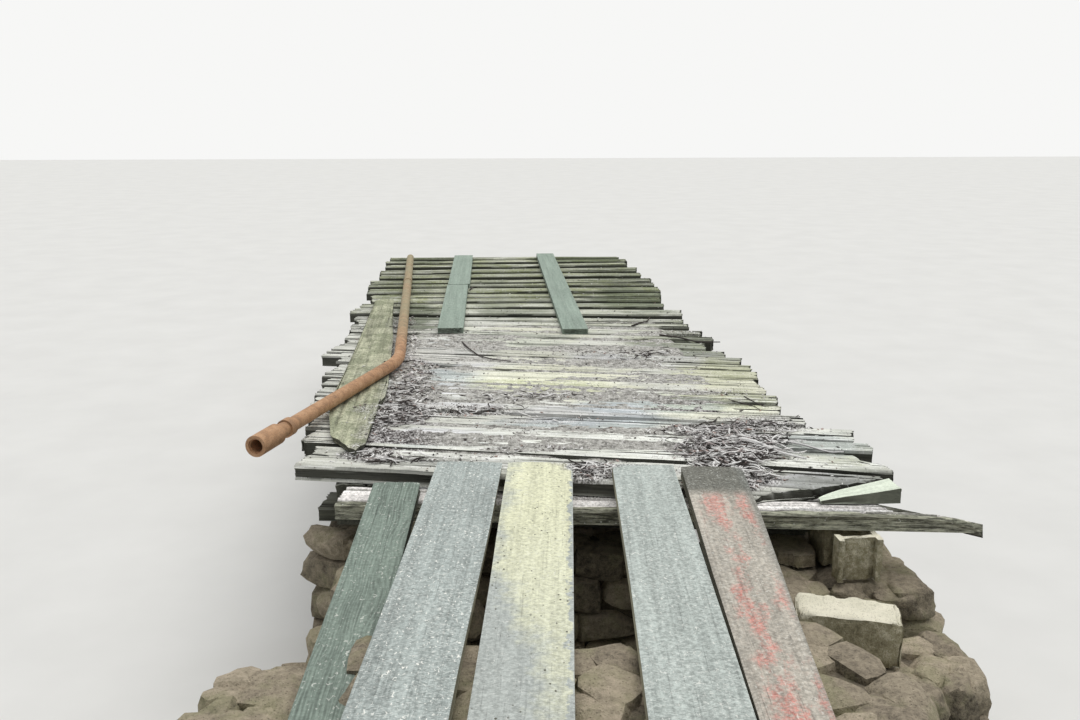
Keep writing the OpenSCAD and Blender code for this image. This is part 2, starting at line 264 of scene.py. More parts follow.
def tube_faces(rings, sides, outward=True):
    """Faces between rings of corners that are counted ring after ring."""
    faces = []
    for k in range(rings - 1):
        for j in range(sides):
            a, b = k * sides + j, k * sides + (j + 1) % sides
            faces.append([a, b, b + sides, a + sides] if outward else
                         [a, a + sides, b + sides, b])
    return faces


def main_direction(co, tris):
    """The level direction of the long edges, along which the solid is narrowest."""
    pairs = np.vstack([tris[:, [0, 1]], tris[:, [1, 2]], tris[:, [2, 0]]])
    span = (co[pairs[:, 1]] - co[pairs[:, 0]])[:, :2]
    length = np.hypot(span[:, 0], span[:, 1])
    best, width = None, 1e9
    for edge in span[length > 0.6 * length.max()]:
        d = edge / np.hypot(*edge)
        t = co[:, :2] @ np.array([-d[1], d[0]])
        if t.max() - t.min() < width - 1e-6:
            best, width = d, t.max() - t.min()
    return best if best[np.argmax(np.abs(best))] > 0 else -best


class Board:
    """A long solid of the frame, measured along and across its grain."""

    def __init__(self, name):
        co, tris = node_mesh(name)
        self.tree = search_tree(co, tris)
        self.along = main_direction(co, tris)
        self.across = np.array([-self.along[1], self.along[0]])
        s, t, z = co[:, :2] @ self.along, co[:, :2] @ self.across, co[:, 2]
        self.s0, self.s1 = s.min(), s.max()
        self.t0, self.t1 = t.min(), t.max()
        self.z0, self.z1 = z.min(), z.max()

    def place(self, s, t, z):
        s, t, z = np.broadcast_arrays(s, t, z)
        return np.stack([s * self.along[0] + t * self.across[0],
                         s * self.along[1] + t * self.across[1], z], -1)

    def hit(self, s, t, z, ds, dt, dz):
        d = ds * self.along + dt * self.across
        start = self.place(s, t, z)
        return self.tree.ray_cast(Vector(start), Vector((d[0], d[1], dz)))[0]

    def heights(self, s, t, from_above):
        z, dz = (self.z1 + RAY_START, -1) if from_above else (self.z0 - RAY_START, 1)
        found = np.full(s.shape, np.nan)
        for index in np.ndindex(s.shape):
            hit = self.hit(s[index], t[index], z, 0, 0, dz)
            if hit is not None:
                found[index] = hit.z
        return found

    def edge(self, places, side, endwise, levels):
        """Where the solid stops, towards an end or a side, seen at a few parts of its height."""
        low, high = (self.s0, self.s1) if endwise else (self.t0, self.t1)
        axis = Vector(self.along if endwise else self.across)
        start = high + RAY_START if side > 0 else low - RAY_START
        found = []
        for place in places:
            hits = []
            for level in levels:
                z = self.z0 + level * (self.z1 - self.z0)
                hits.append(self.hit(start, place, z, -side, 0, 0) if endwise else
                            self.hit(place, start, z, 0, -side, 0))
            stops = [Vector((h.x, h.y)).dot(axis) * side for h in hits if h]
            found.append(max(stops) if stops else np.nan)
        return filled(np.array(found))

    def reach(self, t, side):
        """How far the solid goes towards one end, for each place across it."""
        found = self.edge(t, side, True, (0.25, 0.5, 0.75))
        wide = np.array([found[max(0, i - 2):i + 3].max() for i in range(len(found))])
        return side * wide

    def sides(self, s, side):
        """How far the solid goes across, for each place along it."""
        return side * self.edge(s, side, False, (0.25, 0.5, 0.7))


def filled(row):
    """The row with its missing values taken from the nearest known ones."""
    known = np.flatnonzero(~np.isnan(row))
    if not len(known):
        return np.zeros(len(row))
    nearest = known[np.abs(np.arange(len(row))[:, None] - known[None, :]).argmin(1)]
    return row[nearest]


def zipper(a, b, pa, pb, flip):
    """Triangles between two rows of corners whose places run from low to high."""
    faces, i, j = [], 0, 0
    while i < len(a) - 1 or j < len(b) - 1:
        if j == len(b) - 1 or (i < len(a) - 1 and pa[i + 1] <= pb[j + 1]):
            face = (a[i], a[i + 1], b[j])
            i += 1
        else:
            face = (a[i], b[j + 1], b[j])
            j += 1
        faces.append(face[::-1] if flip else face)
    return faces


def stations(length, step):
    """Places from 0 to 1 along a board, closer together at its ends."""
    ends = np.array([0, 0.005, 0.014, 0.03, 0.052]) / length
    margin = 0.06
    count = max(4, int(round((length - 2 * margin) / step)))
    first = margin / length + step / length / 2
    return np.concatenate([ends, np.linspace(first, 1 - margin / length - step / length / 2, count),
                           1 - ends[::-1]])


def drying_cracks(board, rng, s, t, count, seed):
    """Depth of cracks along the grain; those near an end run out through it."""
    depths = np.zeros(s.shape)
    along = s[:, 0]
    size = board.s1 - board.s0
    for c in range(count):
        where = rng.random()
        at_start, at_end = where < 0.33, where > 0.67
        length = size * (0.12 + 0.33 * rng.random())
        if at_start:
            begin = board.s0
        elif at_end:
            begin = board.s1 - length
        else:
            begin = board.s0 + (size - length) * rng.random()
        line = board.t0 + (board.t1 - board.t0) * (0.08 + 0.84 * rng.random())
        line = line + 0.02 * (noise(along * 2.2, c + 0.5, seed=seed + 21) - 0.5)
        line = line + (along - begin) * 0.012 * (rng.random() - 0.5)
        nearest = np.abs(t - line[:, None]).argmin(1)
        since, until = along - begin, begin + length - along
        if at_start:
            fading = np.clip(until / 0.15, 0, 1)
        elif at_end:
            fading = np.clip(since / 0.15, 0, 1)
        else:
            fading = np.clip(np.minimum(since, until) / 0.12, 0, 1)
        depth = (0.006 + 0.014 * rng.random()) * fading
        stations_index = np.arange(len(line))
        depths[stations_index, nearest] = np.maximum(depths[stations_index, nearest], depth)
    return depths


def dressed_board(name, material, slot, seed, column=0.0075, step=0.03, rows=4, taper=False,
                  furrow=0.0022, cracks=5, decay=0.0, sag=0.004, ragged=0.016, litter=1.0,
                  spread=(0.0, 0.0)):
    """A sawn piece with furrows, drying cracks, worn sides and torn ends in place of its node.

    column and step are the grid's sizes across and along it, and rows its rows down the sides.
    """
    board = Board(name)
    rng = np.random.default_rng(seed)
    inset = 0.0015    # of the long sides
    split_depth, end_margin, taper_places = 0.045, 0.012, 90
    width = board.t1 - board.t0
    count = max(6, int(round(width / column)))
    v = np.linspace(0, 1, count)
    v[1:-1] += (rng.random(count - 2) - 0.5) * 0.5 / count
    left_t, right_t = board.t0 + inset, board.t1 - inset
    columns_t = left_t + v * (right_t - left_t)
    # Ends, torn back column by column
    torn = [ragged * rng.random(count) ** 2 + 0.5 * ragged * noise(v * 5, 0.5, seed=seed + e)
            for e in (1, 2)]
    reach_left = board.reach(columns_t, -1) + CLEAR + torn[0]
    reach_right = board.reach(columns_t, 1) - CLEAR - torn[1]
    u = stations(board.s1 - board.s0, step)
    s = reach_left[None, :] + u[:, None] * (reach_right - reach_left)[None, :]
    if taper:
        grid = np.linspace(board.s0 + end_margin, board.s1 - end_margin, taper_places)
        low, high = board.sides(grid, -1) + inset, board.sides(grid, 1) - inset
        t = np.interp(s, grid, low) * (1 - v) + np.interp(s, grid, high) * v
    else:
        t = np.broadcast_to(columns_t, s.shape).copy()
    top = board.heights(s, t, True)
    split = np.isnan(top)
    split[:, [0, -1]] = False
    top = np.array([filled(row) for row in top])
    under_v = np.linspace(0, 1, max(4, count // 5))
    under_s = np.array([np.interp(under_v, v, row) for row in s])
    under_t = np.array([np.interp(under_v, v, row) for row in t])
    low_z = np.array([filled(row) for row in board.heights(under_s, under_t, False)])
    thick = max(top.mean() - low_z.mean(), 0.01)

    # Furrows follow the grain, deeper where the wood has rotted
    wander = 0.006 * (noise(s * 0.9, 0.5, seed=seed + 9) - 0.5)
    across = t + wander
    ridge = noise(s * 1.3, across * 80, seed=seed + 3)
    fine = noise(s * 4.5, across * 210, seed=seed + 4)
    soft = fbm(s * 1.6, t * 7, seed=seed + 5)
    deep = furrow * (1 + 2.5 * decay + 1.2 * rise(soft, 0.55, 0.8))
    groove = deep * (1.5 * rise(ridge, 0.45, 0.85) + 0.5 * fine)
    crack = drying_cracks(board, rng, s, t, cracks, seed)
    crack = np.minimum(crack, 0.45 * thick)
    crack[split] = np.minimum(split_depth, 0.6 * thick)
    crack[:, [0, -1]] = 0
    hollow = sag * rise(fbm(s * 0.9, t * 5, seed=seed + 6), 0.4, 0.8)
    hollow = hollow + decay * 0.010 * fbm(s * 6, t * 14, seed=seed + 7)
    z = top - groove - crack - np.minimum(hollow, 0.3 * thick)

    # Edges that bulge towards the far end: the low and the high side of t
    far = rise(s, board.s0 + 1.0, board.s0 + 2.4)
    t = t + far * (spread[1] * rise(v, 0.5, 1.0) - spread[0] * rise(v, 0.5, 0.0))

    # Sides, worn in
    steps = np.arange(1, rows + 1) / (rows + 1)
    worn = 0.003 + 0.016 * decay

    def side_rows(col, sign):
        ss = np.repeat(s[:, [col]], rows, 1)
        zz = z[:, [col]] * (1 - steps) + low_z[:, [0 if col == 0 else -1]] * steps
        tt = t[:, [col]] - sign * worn * fbm(ss * 2.6, zz * 45, seed=seed + 11 + col)
        tt = tt - sign * 0.5 * worn * rise(noise(ss * 2, zz * 25, seed=seed + 13), 0.55, 0.8)
        return ss, tt, zz

    rs, rt, rz = side_rows(-1, 1)
    ls, lt, lz = side_rows(0, -1)
    ring_s = np.hstack([s, rs, under_s[:, ::-1], ls[:, ::-1]])
    ring_t = np.hstack([t, rt, under_t[:, ::-1], lt[:, ::-1]])
    ring_z = np.hstack([z, rz, low_z[:, ::-1], lz[:, ::-1]])
    nu, nr = ring_s.shape
    hidden = np.zeros((nu, nr))
    # Painted shade in the furrows and cracks of the top
    hidden[:, :count] = np.clip(0.55 * rise(groove, 0.003, 0.009) + rise(crack, 0.001, 0.006), 0, 1)
    index = np.arange(nu * nr).reshape(nu, nr)
    nxt = np.roll(index, -1, 1)
    faces = np.stack([index[:-1], index[1:], nxt[1:], nxt[:-1]], -1).reshape(-1, 4).tolist()
    verts = board.place(ring_s.ravel(), ring_t.ravel(), ring_z.ravel())
    local = np.stack([ring_s.ravel(), ring_t.ravel(), ring_z.ravel()], -1)
    cavity = hidden.ravel()

    # End faces, with torn fibres
    n = len(verts)
    for end, sign in ((0, -1), (nu - 1, 1)):
        row = index[end, :count].tolist()
        places = v.copy()
        for k in range(rows):
            cols = np.arange(2, count - 2, 2)
            inner = v[cols]
            f = steps[k]
            back = (0.004 + 0.012 * decay) * rng.random(len(inner))
            back = back + 0.006 * (rng.random(len(inner)) > 0.8)
            es = s[end, cols] - sign * back
            et = t[end, cols]
            ez = z[end, cols] * (1 - f) + np.interp(inner, under_v, low_z[end]) * f
            new = list(range(n, n + len(inner)))
            n += len(inner)
            verts = np.vstack([verts, board.place(es, et, ez)])
            local = np.vstack([local, np.stack([es, et, ez], -1)])
            # Painted shade among the torn fibres of the ends
            cavity = np.concatenate([cavity, 0.25 + 0.5 * rng.random(len(inner))])
            next_row = [index[end, nr - 1 - k]] + new + [index[end, count + k]]
            next_places = np.concatenate([[0], inner, [1]])
            faces += zipper(row, next_row, places, next_places, sign < 0)
            row, places = next_row, next_places
        under = index[end, count + rows:count + rows + len(under_v)][::-1].tolist()
        faces += zipper(row, under, places, under_v, sign < 0)

    x, y, height = verts.T
    upper = rise(height, board.z1 - 0.045, board.z1 - 0.012)
    upper[:nu * nr].reshape(nu, nr)[:, :count] = 1
    masks = np.stack([moss_and_tree_shade_at(x, y), cool_at(x, y) * upper, litter * litter_at(x, y) * upper,
                      cavity], -1)
    zones = zones_at(x, y)
    zones[:, 1] *= upper
    # Distances to both ends and both long edges
    if not taper:
        grid, low, high = [board.s0, board.s1], [left_t, left_t], [right_t, right_t]
    rim = np.stack([local[:, 0] - board.s0, board.s1 - local[:, 0],
                    local[:, 1] - np.interp(local[:, 0], grid, low),
                    np.interp(local[:, 0], grid, high) - local[:, 1]], -1)
    local = local - [board.s0, board.t0, board.z0] + rng.random(3) * [40, 30, 20]
    tone = np.full(len(verts), rng.random())
    piece = mesh_object(name + "_worn", verts, faces, material, grain=local, masks=masks,
                        zones=zones, tone=tone, rim=np.clip(rim, 0, None))
    return add_piece(piece, slot, name)


# Materials

class Paint:
    """A procedural material, built with short calls."""

    def __init__(self, name, roughness=0.9, specular=0.25):
        self.material = bpy.data.materials.new(name)
        self.material.use_nodes = True
        self.tree = self.material.node_tree
        self.shader = self.tree.nodes["Principled BSDF"]
        self.shader.inputs["Roughness"].default_value = roughness
        self.shader.inputs["Specular IOR Level"].default_value = specular

    def add(self, kind, inputs, out=0, **settings):
        node = self.tree.nodes.new("ShaderNode" + kind)
        for key, value in settings.items():
            setattr(node, key, value)
        for key, value in inputs.items():
            if isinstance(value, bpy.types.NodeSocket):
                self.tree.links.new(value, node.inputs[key])
            else:
                node.inputs[key].default_value = value
        return node.outputs[out]

    def attribute(self, name, out="Color"):
        return self.add("Attribute", {}, out, attribute_name=name)

    def channels(self, name):
        node = self.add("SeparateColor", {0: self.attribute(name)}).node
        alpha = self.attribute(name, "Alpha")
        return node.outputs[0], node.outputs[1], node.outputs[2], alpha

    def place(self):
        return self.add("TexCoord", {}, "Object")

    def stretch(self, vector, scale):
        return self.add("Mapping", {"Vector": vector, "Scale": scale})

    def noise(self, vector, scale=1.0, detail=4.0, rough=0.55, distortion=0.0):
        return self.add("TexNoise", {"Vector": vector, "Scale": scale, "Detail": detail,
                                     "Roughness": rough, "Distortion": distortion})

    def streaks(self, vector, stretched, detail, rough=0.55, distortion=0.0):
        """Noise drawn out along the axes where the stretch is small."""
        return self.noise(self.stretch(vector, stretched), 1, detail, rough, distortion)

    def cells(self, vector, scale):
        return self.add("TexVoronoi", {"Vector": vector, "Scale": scale}, "Distance")

    def axis(self, vector, index):
        return self.add("SeparateXYZ", {0: vector}, index)

    def facing_up(self):
        return self.axis(self.add("NewGeometry", {}, "Normal"), 2)

    def math(self, operation, a, b=0.0, clamp=False):
        return self.add("Math", {0: a, 1: b}, operation=operation, use_clamp=clamp)

    def times(self, a, b, clamp=False):
        return self.math("MULTIPLY", a, b, clamp)

    def plus(self, a, b):
        return self.math("ADD", a, b)

    def minus(self, a, b):
        return self.math("SUBTRACT", a, b)

    def blend(self, *parts):
        """The sum of (value, weight) pairs."""
        total = self.times(*parts[0])
        for part in parts[1:]:
            total = self.plus(total, self.times(*part))
        return total

    def span(self, value, low, high, to_low=0.0, to_high=1.0):
        return self.add("MapRange", {0: value, 1: low, 2: high, 3: to_low, 4: to_high})

    def ramp(self, value, stops):
        node = self.add("ValToRGB", {0: value}).node
        elements = node.color_ramp.elements
        while len(elements) < len(stops):
            elements.new(1.0)
        for element, (place, colour) in zip(elements, stops):
            element.position = place
            element.color = (*colour, 1)
        return node.outputs[0]

    def mix(self, factor, a, b, blend="MIX"):
        node = self.add("Mix", {}, 2, data_type="RGBA", blend_type=blend).node
        for socket, value in ((0, factor), (6, a), (7, b)):
            if isinstance(value, bpy.types.NodeSocket):
                self.tree.links.new(value, node.inputs[socket])
            elif socket == 0:
                node.inputs[0].default_value = value
            else:
                node.inputs[socket].default_value = (*value, 1)
        return node.outputs[2]

    def shade(self, colour, level):
        """The colour multiplied by a grey level."""
        grey = self.add("CombineXYZ", {0: level, 1: level, 2: level})
        return self.mix(1.0, colour, grey, "MULTIPLY")

    def finish(self, colour, height, distance, strength=1.0):
        self.tree.links.new(colour, self.shader.inputs["Base Color"])
        bump = self.add("Bump", {"Strength": strength, "Distance": distance, "Height": height},
                        "Normal")
        self.tree.links.new(bump, self.shader.inputs["Normal"])
        return self.material


def scaled(colour, k):
    return tuple(min(1.0, c * k) for c in colour)


GRIME_AND_SHADE = (0.022, 0.02, 0.016)
SOIL = (0.36, 0.335, 0.325)


SOOTY = (0.02, 0.018, 0.017)
BLEACHED = (0.9, 0.89, 0.88)
TONE_LOW, TONE_HIGH = 0.33, 0.65    # where the grain's tone is darkest and palest


def wood(name, body, moss=(0.36, 0.39, 0.2), cool=(0.41, 0.455, 0.45), contrast=0.5, flecks=0.0,
         swirl=False, lichen=None, paint=None, moss_amount=0.0, saw=0.0, grain_dark=1.0,
         side=(0.07, 0.072, 0.055), side_shade_amount=0.85, mottle=0.0, fields=False,
         front_shade_width=0.0):
    """Weathered wood. body is its mean colour; the grain attribute runs along the piece. side is
    the colour of the painted shade on faces that do not face up.
    """
    p = Paint(name, roughness=0.88, specular=0.2)
    grain = p.attribute("grain", "Vector")
    moss_and_shade_mask, cool_mask, litter_mask, cavity = p.channels("masks")
    tone_piece = p.attribute("tone", "Fac")
    fine = p.streaks(grain, (11, 330, 330), 3)
    fibre = p.streaks(grain, (2.4, 105, 105), 5, 0.62)
    band = p.streaks(grain, (1.1, 26, 26), 4, 0.6, 0.3)
    broad = p.streaks(grain, (2.6, 6, 6), 4, 0.6)
    if swirl:
        rings = p.add("TexWave", {"Vector": p.stretch(grain, (0.26, 1, 1)), "Scale": 23.0,
                                  "Distortion": 30.0, "Detail": 2.0, "Detail Scale": 0.3},
                      "Fac", bands_direction="Y")
        band = p.blend((p.span(rings, 0.35, 1.0, 0.32, 0.62), 0.7), (band, 0.3))
    tone = p.blend((fibre, 0.38), (band, 0.3), (fine, 0.12), (broad, 0.2))
    tone = p.plus(tone, p.span(tone_piece, 0, 1, -0.045, 0.045))

    def palette(colour):
        return p.ramp(tone, [(TONE_LOW, scaled(colour, 1 - contrast)), (0.5, scaled(colour, 1.0)),
                             (TONE_HIGH, scaled(colour, 1 + 0.45 * contrast))])

    colour = palette(body)
    place = p.place()
    cloud = p.noise(place, 5.5, 5, 0.6)
    small = p.noise(place, 38, 4, 0.6)
    _, from_far, from_right, from_left = p.channels("rim")
    if lichen:
        wide = p.blend((cloud, 0.7), (small, 0.3))
        if lichen[1] == "plank":
            # It has worn off along the left edge towards the near end, and off the right edge
            bare = p.span(from_far, 1.0, 1.85, -0.04, 0.18)
            bare = p.plus(bare, p.span(wide, 0.3, 0.7, -0.09, 0.09))
            kept = p.span(p.minus(from_left, bare), -0.02, 0.085)
            ragged = p.span(p.noise(place, 13, 4, 0.7), 0.42, 0.66, 0.0, 0.03)
            kept = p.times(kept, p.span(p.minus(from_right, ragged), 0.0, 0.006))
            wide = p.times(kept, p.span(from_far, 0.5, 2.2, 1.0, 0.55))
            spots = p.span(p.cells(p.stretch(place, (44, 28, 28)), 1.0), 0.13, 0.18, 1, 0)
            rare = p.span(p.noise(place, 14, 3), 0.46, 0.54, 0.0, 0.95)
        else:
            wide = p.span(wide, lichen[1], lichen[1] + 0.07)
            spots = p.span(p.cells(place, 38), 0.05, 0.1, 1, 0)
            rare = p.span(p.noise(place, 9, 3), 0.5, 0.62)
        colour = p.mix(wide, colour, palette(lichen[0]))
        colour = p.mix(p.times(spots, rare), colour, (0.09, 0.085, 0.06))
    if moss_amount:
        clump = p.span(p.blend((small, 0.5), (cloud, 0.5)), 0.4, 0.62)
        amount = p.times(moss_and_shade_mask, p.span(clump, 0, 1, 0.45, 1.0))
        colour = p.mix(p.times(amount, moss_amount, True), colour, palette(moss))
        colour = p.mix(p.times(cool_mask, 0.9 * moss_amount), colour, palette(cool))
    if paint:
        # Left in two soft bands along the plank, none at its damp far end and worn edges
        drift = p.span(p.streaks(grain, (2.2, 2.2, 2.2), 2), 0.3, 0.7, -0.035, 0.035)
        across = p.add("CombineXYZ", {0: p.plus(from_right, drift)})
        bands = p.add("TexWave", {"Vector": across, "Scale": 2.35, "Phase Offset": 2.6}, "Fac")
        chips = p.streaks(grain, (12, 26, 26), 5, 0.7)
        region = p.span(p.streaks(grain, (2.2, 4, 4), 2), 0.36, 0.6, -0.1, 0.12)
        amount = p.plus(p.times(bands, 0.24), p.plus(chips, region))
        left = p.times(p.span(amount, 0.58, 0.76), p.span(from_right, 0.018, 0.04))
        left = p.times(left, p.times(p.span(from_left, 0.015, 0.05),
                                     p.span(from_far, 0.3, 0.4)))
        rubbed = p.span(p.noise(place, 80, 4, 0.75), 0.4, 0.58, 0.1, 0.9)
        colour = p.mix(p.times(left, rubbed), colour, paint)
        damp = p.plus(from_far, p.span(cloud, 0.3, 0.7, -0.03, 0.03))
        colour = p.mix(p.span(damp, 0.27, 0.38, 0.85, 0.0), colour, (0.105, 0.11, 0.095))
        colour = p.mix(p.span(from_right, 0.008, 0.045, 0.6, 0.0), colour, (0.16, 0.17, 0.16))
    if mottle:
        # Weathered grain at a few millimetres, over blotches and long streaks
        level = p.blend((p.noise(place, 62, 4, 0.75), 0.72),
                        (p.streaks(grain, (1.2, 30, 30), 3, 0.6), 0.28))
        colour = p.shade(colour, p.span(level, 0.4, 0.6, 1 - mottle, 1 + mottle))
    if fields:
        # Streaks and grit that stay visible at a flat view, over the broad colour fields
        warm, pale, dark, lavender = p.channels("zones")
        streak = p.streaks(grain, (3.6, 44, 44), 5, 0.68)
        colour = p.mix(p.span(streak, 0.36, 0.44, 0.5, 0.0), colour, scaled(body, 0.3))
        colour = p.mix(p.span(streak, 0.53, 0.64, 0.0, 0.6), colour, (0.9, 0.9, 0.87))
        grit = p.streaks(place, (95, 42, 42), 3, 0.75)
        gritty = p.span(p.noise(place, 4.5, 3), 0.36, 0.6, 0.25, 1.0)
        colour = p.mix(p.times(p.span(grit, 0.32, 0.4, 0.85, 0.0), gritty), colour,
                       (0.06, 0.055, 0.05))
        colour = p.mix(p.times(p.span(grit, 0.59, 0.66, 0.0, 0.85), gritty), colour,
                       (0.93, 0.93, 0.9))
        # The dark field multiplies in painted shadows of plants and trees, partly dark moss
        for amount, tint in ((warm, (1.04, 1.03, 0.9)), (lavender, (0.97, 0.96, 1.06)),
                             (pale, (1.32, 1.33, 1.36)), (dark, (0.36, 0.39, 0.33))):
            colour = p.mix(amount, colour, p.mix(1.0, colour, tint, "MULTIPLY"))
    if saw:
        marks = p.streaks(grain, (300, 95, 95), 2, 0.6)
        worn_part = p.span(p.streaks(grain, (3, 9, 9), 3), 0.38, 0.6, 0.35, 1.0)
        dash = p.times(p.span(marks, 0.56, 0.63), worn_part)
        colour = p.mix(p.times(dash, saw), colour, (0.84, 0.86, 0.82))
        colour = p.mix(p.span(marks, 0.36, 0.45, 0.7 * saw, 0.0), colour, scaled(body, 0.35))
    if flecks:
        winding = p.math("ABSOLUTE", p.minus(p.streaks(place, (54, 34, 34), 1), 0.5))
        chips = p.times(p.span(winding, 0.022, 0.045, 1, 0),
                        p.span(p.streaks(place, (70, 48, 48), 1), 0.59, 0.63))
        some = p.span(p.noise(place, 11, 3, 0.7), 0.38, 0.56, 0.3, 1.0)
        colour = p.mix(p.times(p.times(chips, some), flecks, True), colour, (0.96, 0.96, 0.9))
    # Trodden litter that clings to the wood
    soil_tone = p.streaks(place, (125, 60, 60), 4, 0.75)
    dirt = p.ramp(soil_tone, [(0.43, SOOTY), (0.5, scaled(SOIL, 0.9)), (0.56, BLEACHED)])
    speckle = p.blend((p.noise(place, 105, 3, 0.6), 0.75), (cloud, 0.25))
    speckle = p.minus(speckle, p.minus(1.02, litter_mask))
    colour = p.mix(p.times(litter_mask, p.span(speckle, -0.42, -0.3), True), colour, dirt)
    # The sides get painted shade, as they face away from the light from above; their wood is also
    # damp and dark
    side_shade = p.span(p.facing_up(), 0.3, 0.75, side_shade_amount, 0.0)
    # A strip along the front edge of the top gets the same painted shade, so that it reads as part
    # of the shaded front face
    if front_shade_width:
        front = p.plus(from_right, p.span(cloud, 0.3, 0.7, -0.012, 0.012))
        front = p.span(front, front_shade_width, front_shade_width + 0.012, 0.9, 0.0)
        side_shade = p.math("MAXIMUM", side_shade, front)
    colour = p.mix(side_shade, colour, p.ramp(tone, [(TONE_LOW, scaled(side, 0.45)), (0.5, side),
                                                   (TONE_HIGH, scaled(side, 2.2))]))
    if front_shade_width:
        rough = p.span(p.streaks(grain, (13, 85, 85), 5, 0.75), 0.4, 0.6, 0.25, 1.75)
        colour = p.mix(side_shade, colour, p.shade(colour, rough))
        bits = p.times(p.span(p.cells(place, 48), 0.1, 0.18, 1, 0),
                       p.span(p.noise(place, 11, 3), 0.5, 0.56))
        colour = p.mix(bits, colour, (0.7, 0.72, 0.66))
    # Grime in thin cracks, then painted shade in the real grooves and cracks
    lines = p.span(p.streaks(grain, (2.6, 130, 130), 4, 0.7), 0.32, 0.39, 0.8, 0.0)
    colour = p.mix(p.times(lines, grain_dark), colour, GRIME_AND_SHADE)
    colour = p.mix(p.times(cavity, 0.93, True), colour, GRIME_AND_SHADE)
    height = p.blend((fibre, 0.6), (fine, 0.25), (band, 0.5 if swirl else 0.2))
    height = p.minus(height, p.times(lines, 0.35))
    return p.finish(colour, height, 0.004, 0.8)


def rust():
    p = Paint("rusty_steel", roughness=0.68, specular=0.35)
    place = p.place()
    broad = p.noise(place, 3.2, 5, 0.6)
    patch = p.noise(place, 15, 6, 0.65, 0.6)
    pits = p.noise(place, 210, 4, 0.7)
    colour = p.ramp(patch, [(0.34, (0.11, 0.055, 0.03)), (0.46, (0.34, 0.17, 0.08)),
                            (0.56, (0.5, 0.28, 0.15)), (0.7, (0.62, 0.42, 0.26))])
    onward = p.axis(place, 1)
    colour = p.mix(p.span(onward, 1.2, 2.4, 0.5, 0.2), colour, (0.58, 0.35, 0.2))
    greenish = p.span(onward, 2.3, 3.4, 0.0, 0.8)
    colour = p.mix(p.times(greenish, p.span(broad, 0.3, 0.55, 0.5, 1.0)), colour,
                   (0.33, 0.31, 0.19))
    colour = p.mix(p.span(pits, 0.34, 0.46, 0.7, 0.0), colour, (0.07, 0.04, 0.03))
    scale = p.span(p.cells(place, 85), 0.0, 0.35, 1, 0)
    return p.finish(colour, p.blend((pits, 0.5), (scale, 0.4)), 0.0015, 0.8)


def mineral(name, body, pale, dark, grit, moss_amount=0.3, top_pale=0.6):
    """Concrete or stone: paler where it faces up, as painted light from above, darker and greener
    below.
    """
    p = Paint(name, roughness=0.93, specular=0.2)
    place = p.place()
    cloud = p.noise(place, 6, 5, 0.62)
    mid = p.noise(place, 34, 6, 0.68)
    sand = p.noise(place, grit, 4, 0.7)
    tone = p.blend((cloud, 0.35), (mid, 0.4), (sand, 0.25))
    tone = p.plus(tone, p.span(p.attribute("tone", "Fac"), 0, 1, -0.09, 0.09))
    colour = p.ramp(tone, [(0.34, dark), (0.5, body), (0.66, pale)])
    # Painted light: faces that look up are lightened towards the pale colour
    lit_from_above = p.times(p.span(p.facing_up(), 0.35, 0.9),
                       p.span(mid, 0.3, 0.6, top_pale * 0.5, top_pale))
    colour = p.mix(lit_from_above, colour, pale)
    colour = p.mix(p.times(p.span(cloud, 0.48, 0.62), moss_amount), colour, (0.16, 0.19, 0.07))
    pores = p.span(p.cells(place, grit * 0.6), 0.12, 0.3, 0.6, 0.0)
    colour = p.mix(p.times(pores, p.span(sand, 0.4, 0.6)), colour, scaled(dark, 0.35))
    # Crevice shade: painted shade in chipped edges and in the rubble's core
    colour = p.mix(p.times(p.attribute("cavity", "Fac"), 0.85, True), colour, scaled(dark, 0.3))
    height = p.minus(p.blend((mid, 0.9), (sand, 0.35)), p.times(pores, 0.3))
    return p.finish(colour, height, 0.012, 1.0)


def loose(name):
    """Leaf litter, bark and splinters: each chip has its own tone."""
    p = Paint(name, roughness=0.92, specular=0.15)
    tone = p.attribute("tone", "Fac")
    colour = p.ramp(tone, [(0.0, (0.035, 0.03, 0.028)), (0.28, (0.15, 0.13, 0.125)),
                           (0.42, (0.55, 0.52, 0.52)), (0.49, (0.4, 0.25, 0.2)),
                           (0.56, (0.82, 0.8, 0.8)), (1.0, (0.97, 0.96, 0.94))])
    grit = p.noise(p.place(), 260, 3, 0.6)
    colour = p.mix(p.span(grit, 0.35, 0.6, 0.22, 0.0), colour, (0.05, 0.04, 0.03))
    return p.finish(colour, grit, 0.002, 0.6)


def soil():
    """Litter trodden into the joints, most bleached along the middle of the deck."""
    p = Paint("trodden_litter", roughness=0.95, specular=0.15)
    place = p.place()
    crumbs = p.streaks(place, (85, 42, 42), 5, 0.75)
    clump = p.noise(place, 24, 4, 0.6)
    colour = p.ramp(p.blend((crumbs, 0.7), (clump, 0.3)),
                    [(0.43, SOOTY), (0.5, (0.21, 0.195, 0.19)), (0.55, (0.52, 0.5, 0.5)),
                     (0.6, BLEACHED)])
    middle = p.span(p.axis(place, 1), 1.0, 1.4, 0.0, 0.6)
    across = p.math("ABSOLUTE", p.plus(p.axis(place, 0), 0.02))
    middle = p.math("MAXIMUM", middle, p.span(across, 0.5, 0.72, 0.62, 0.0))
    colour = p.mix(p.times(middle, p.span(clump, 0.35, 0.55, 0.4, 1.0)), colour,
                   (0.62, 0.61, 0.56))
    return p.finish(colour, crumbs, 0.008, 1.0)


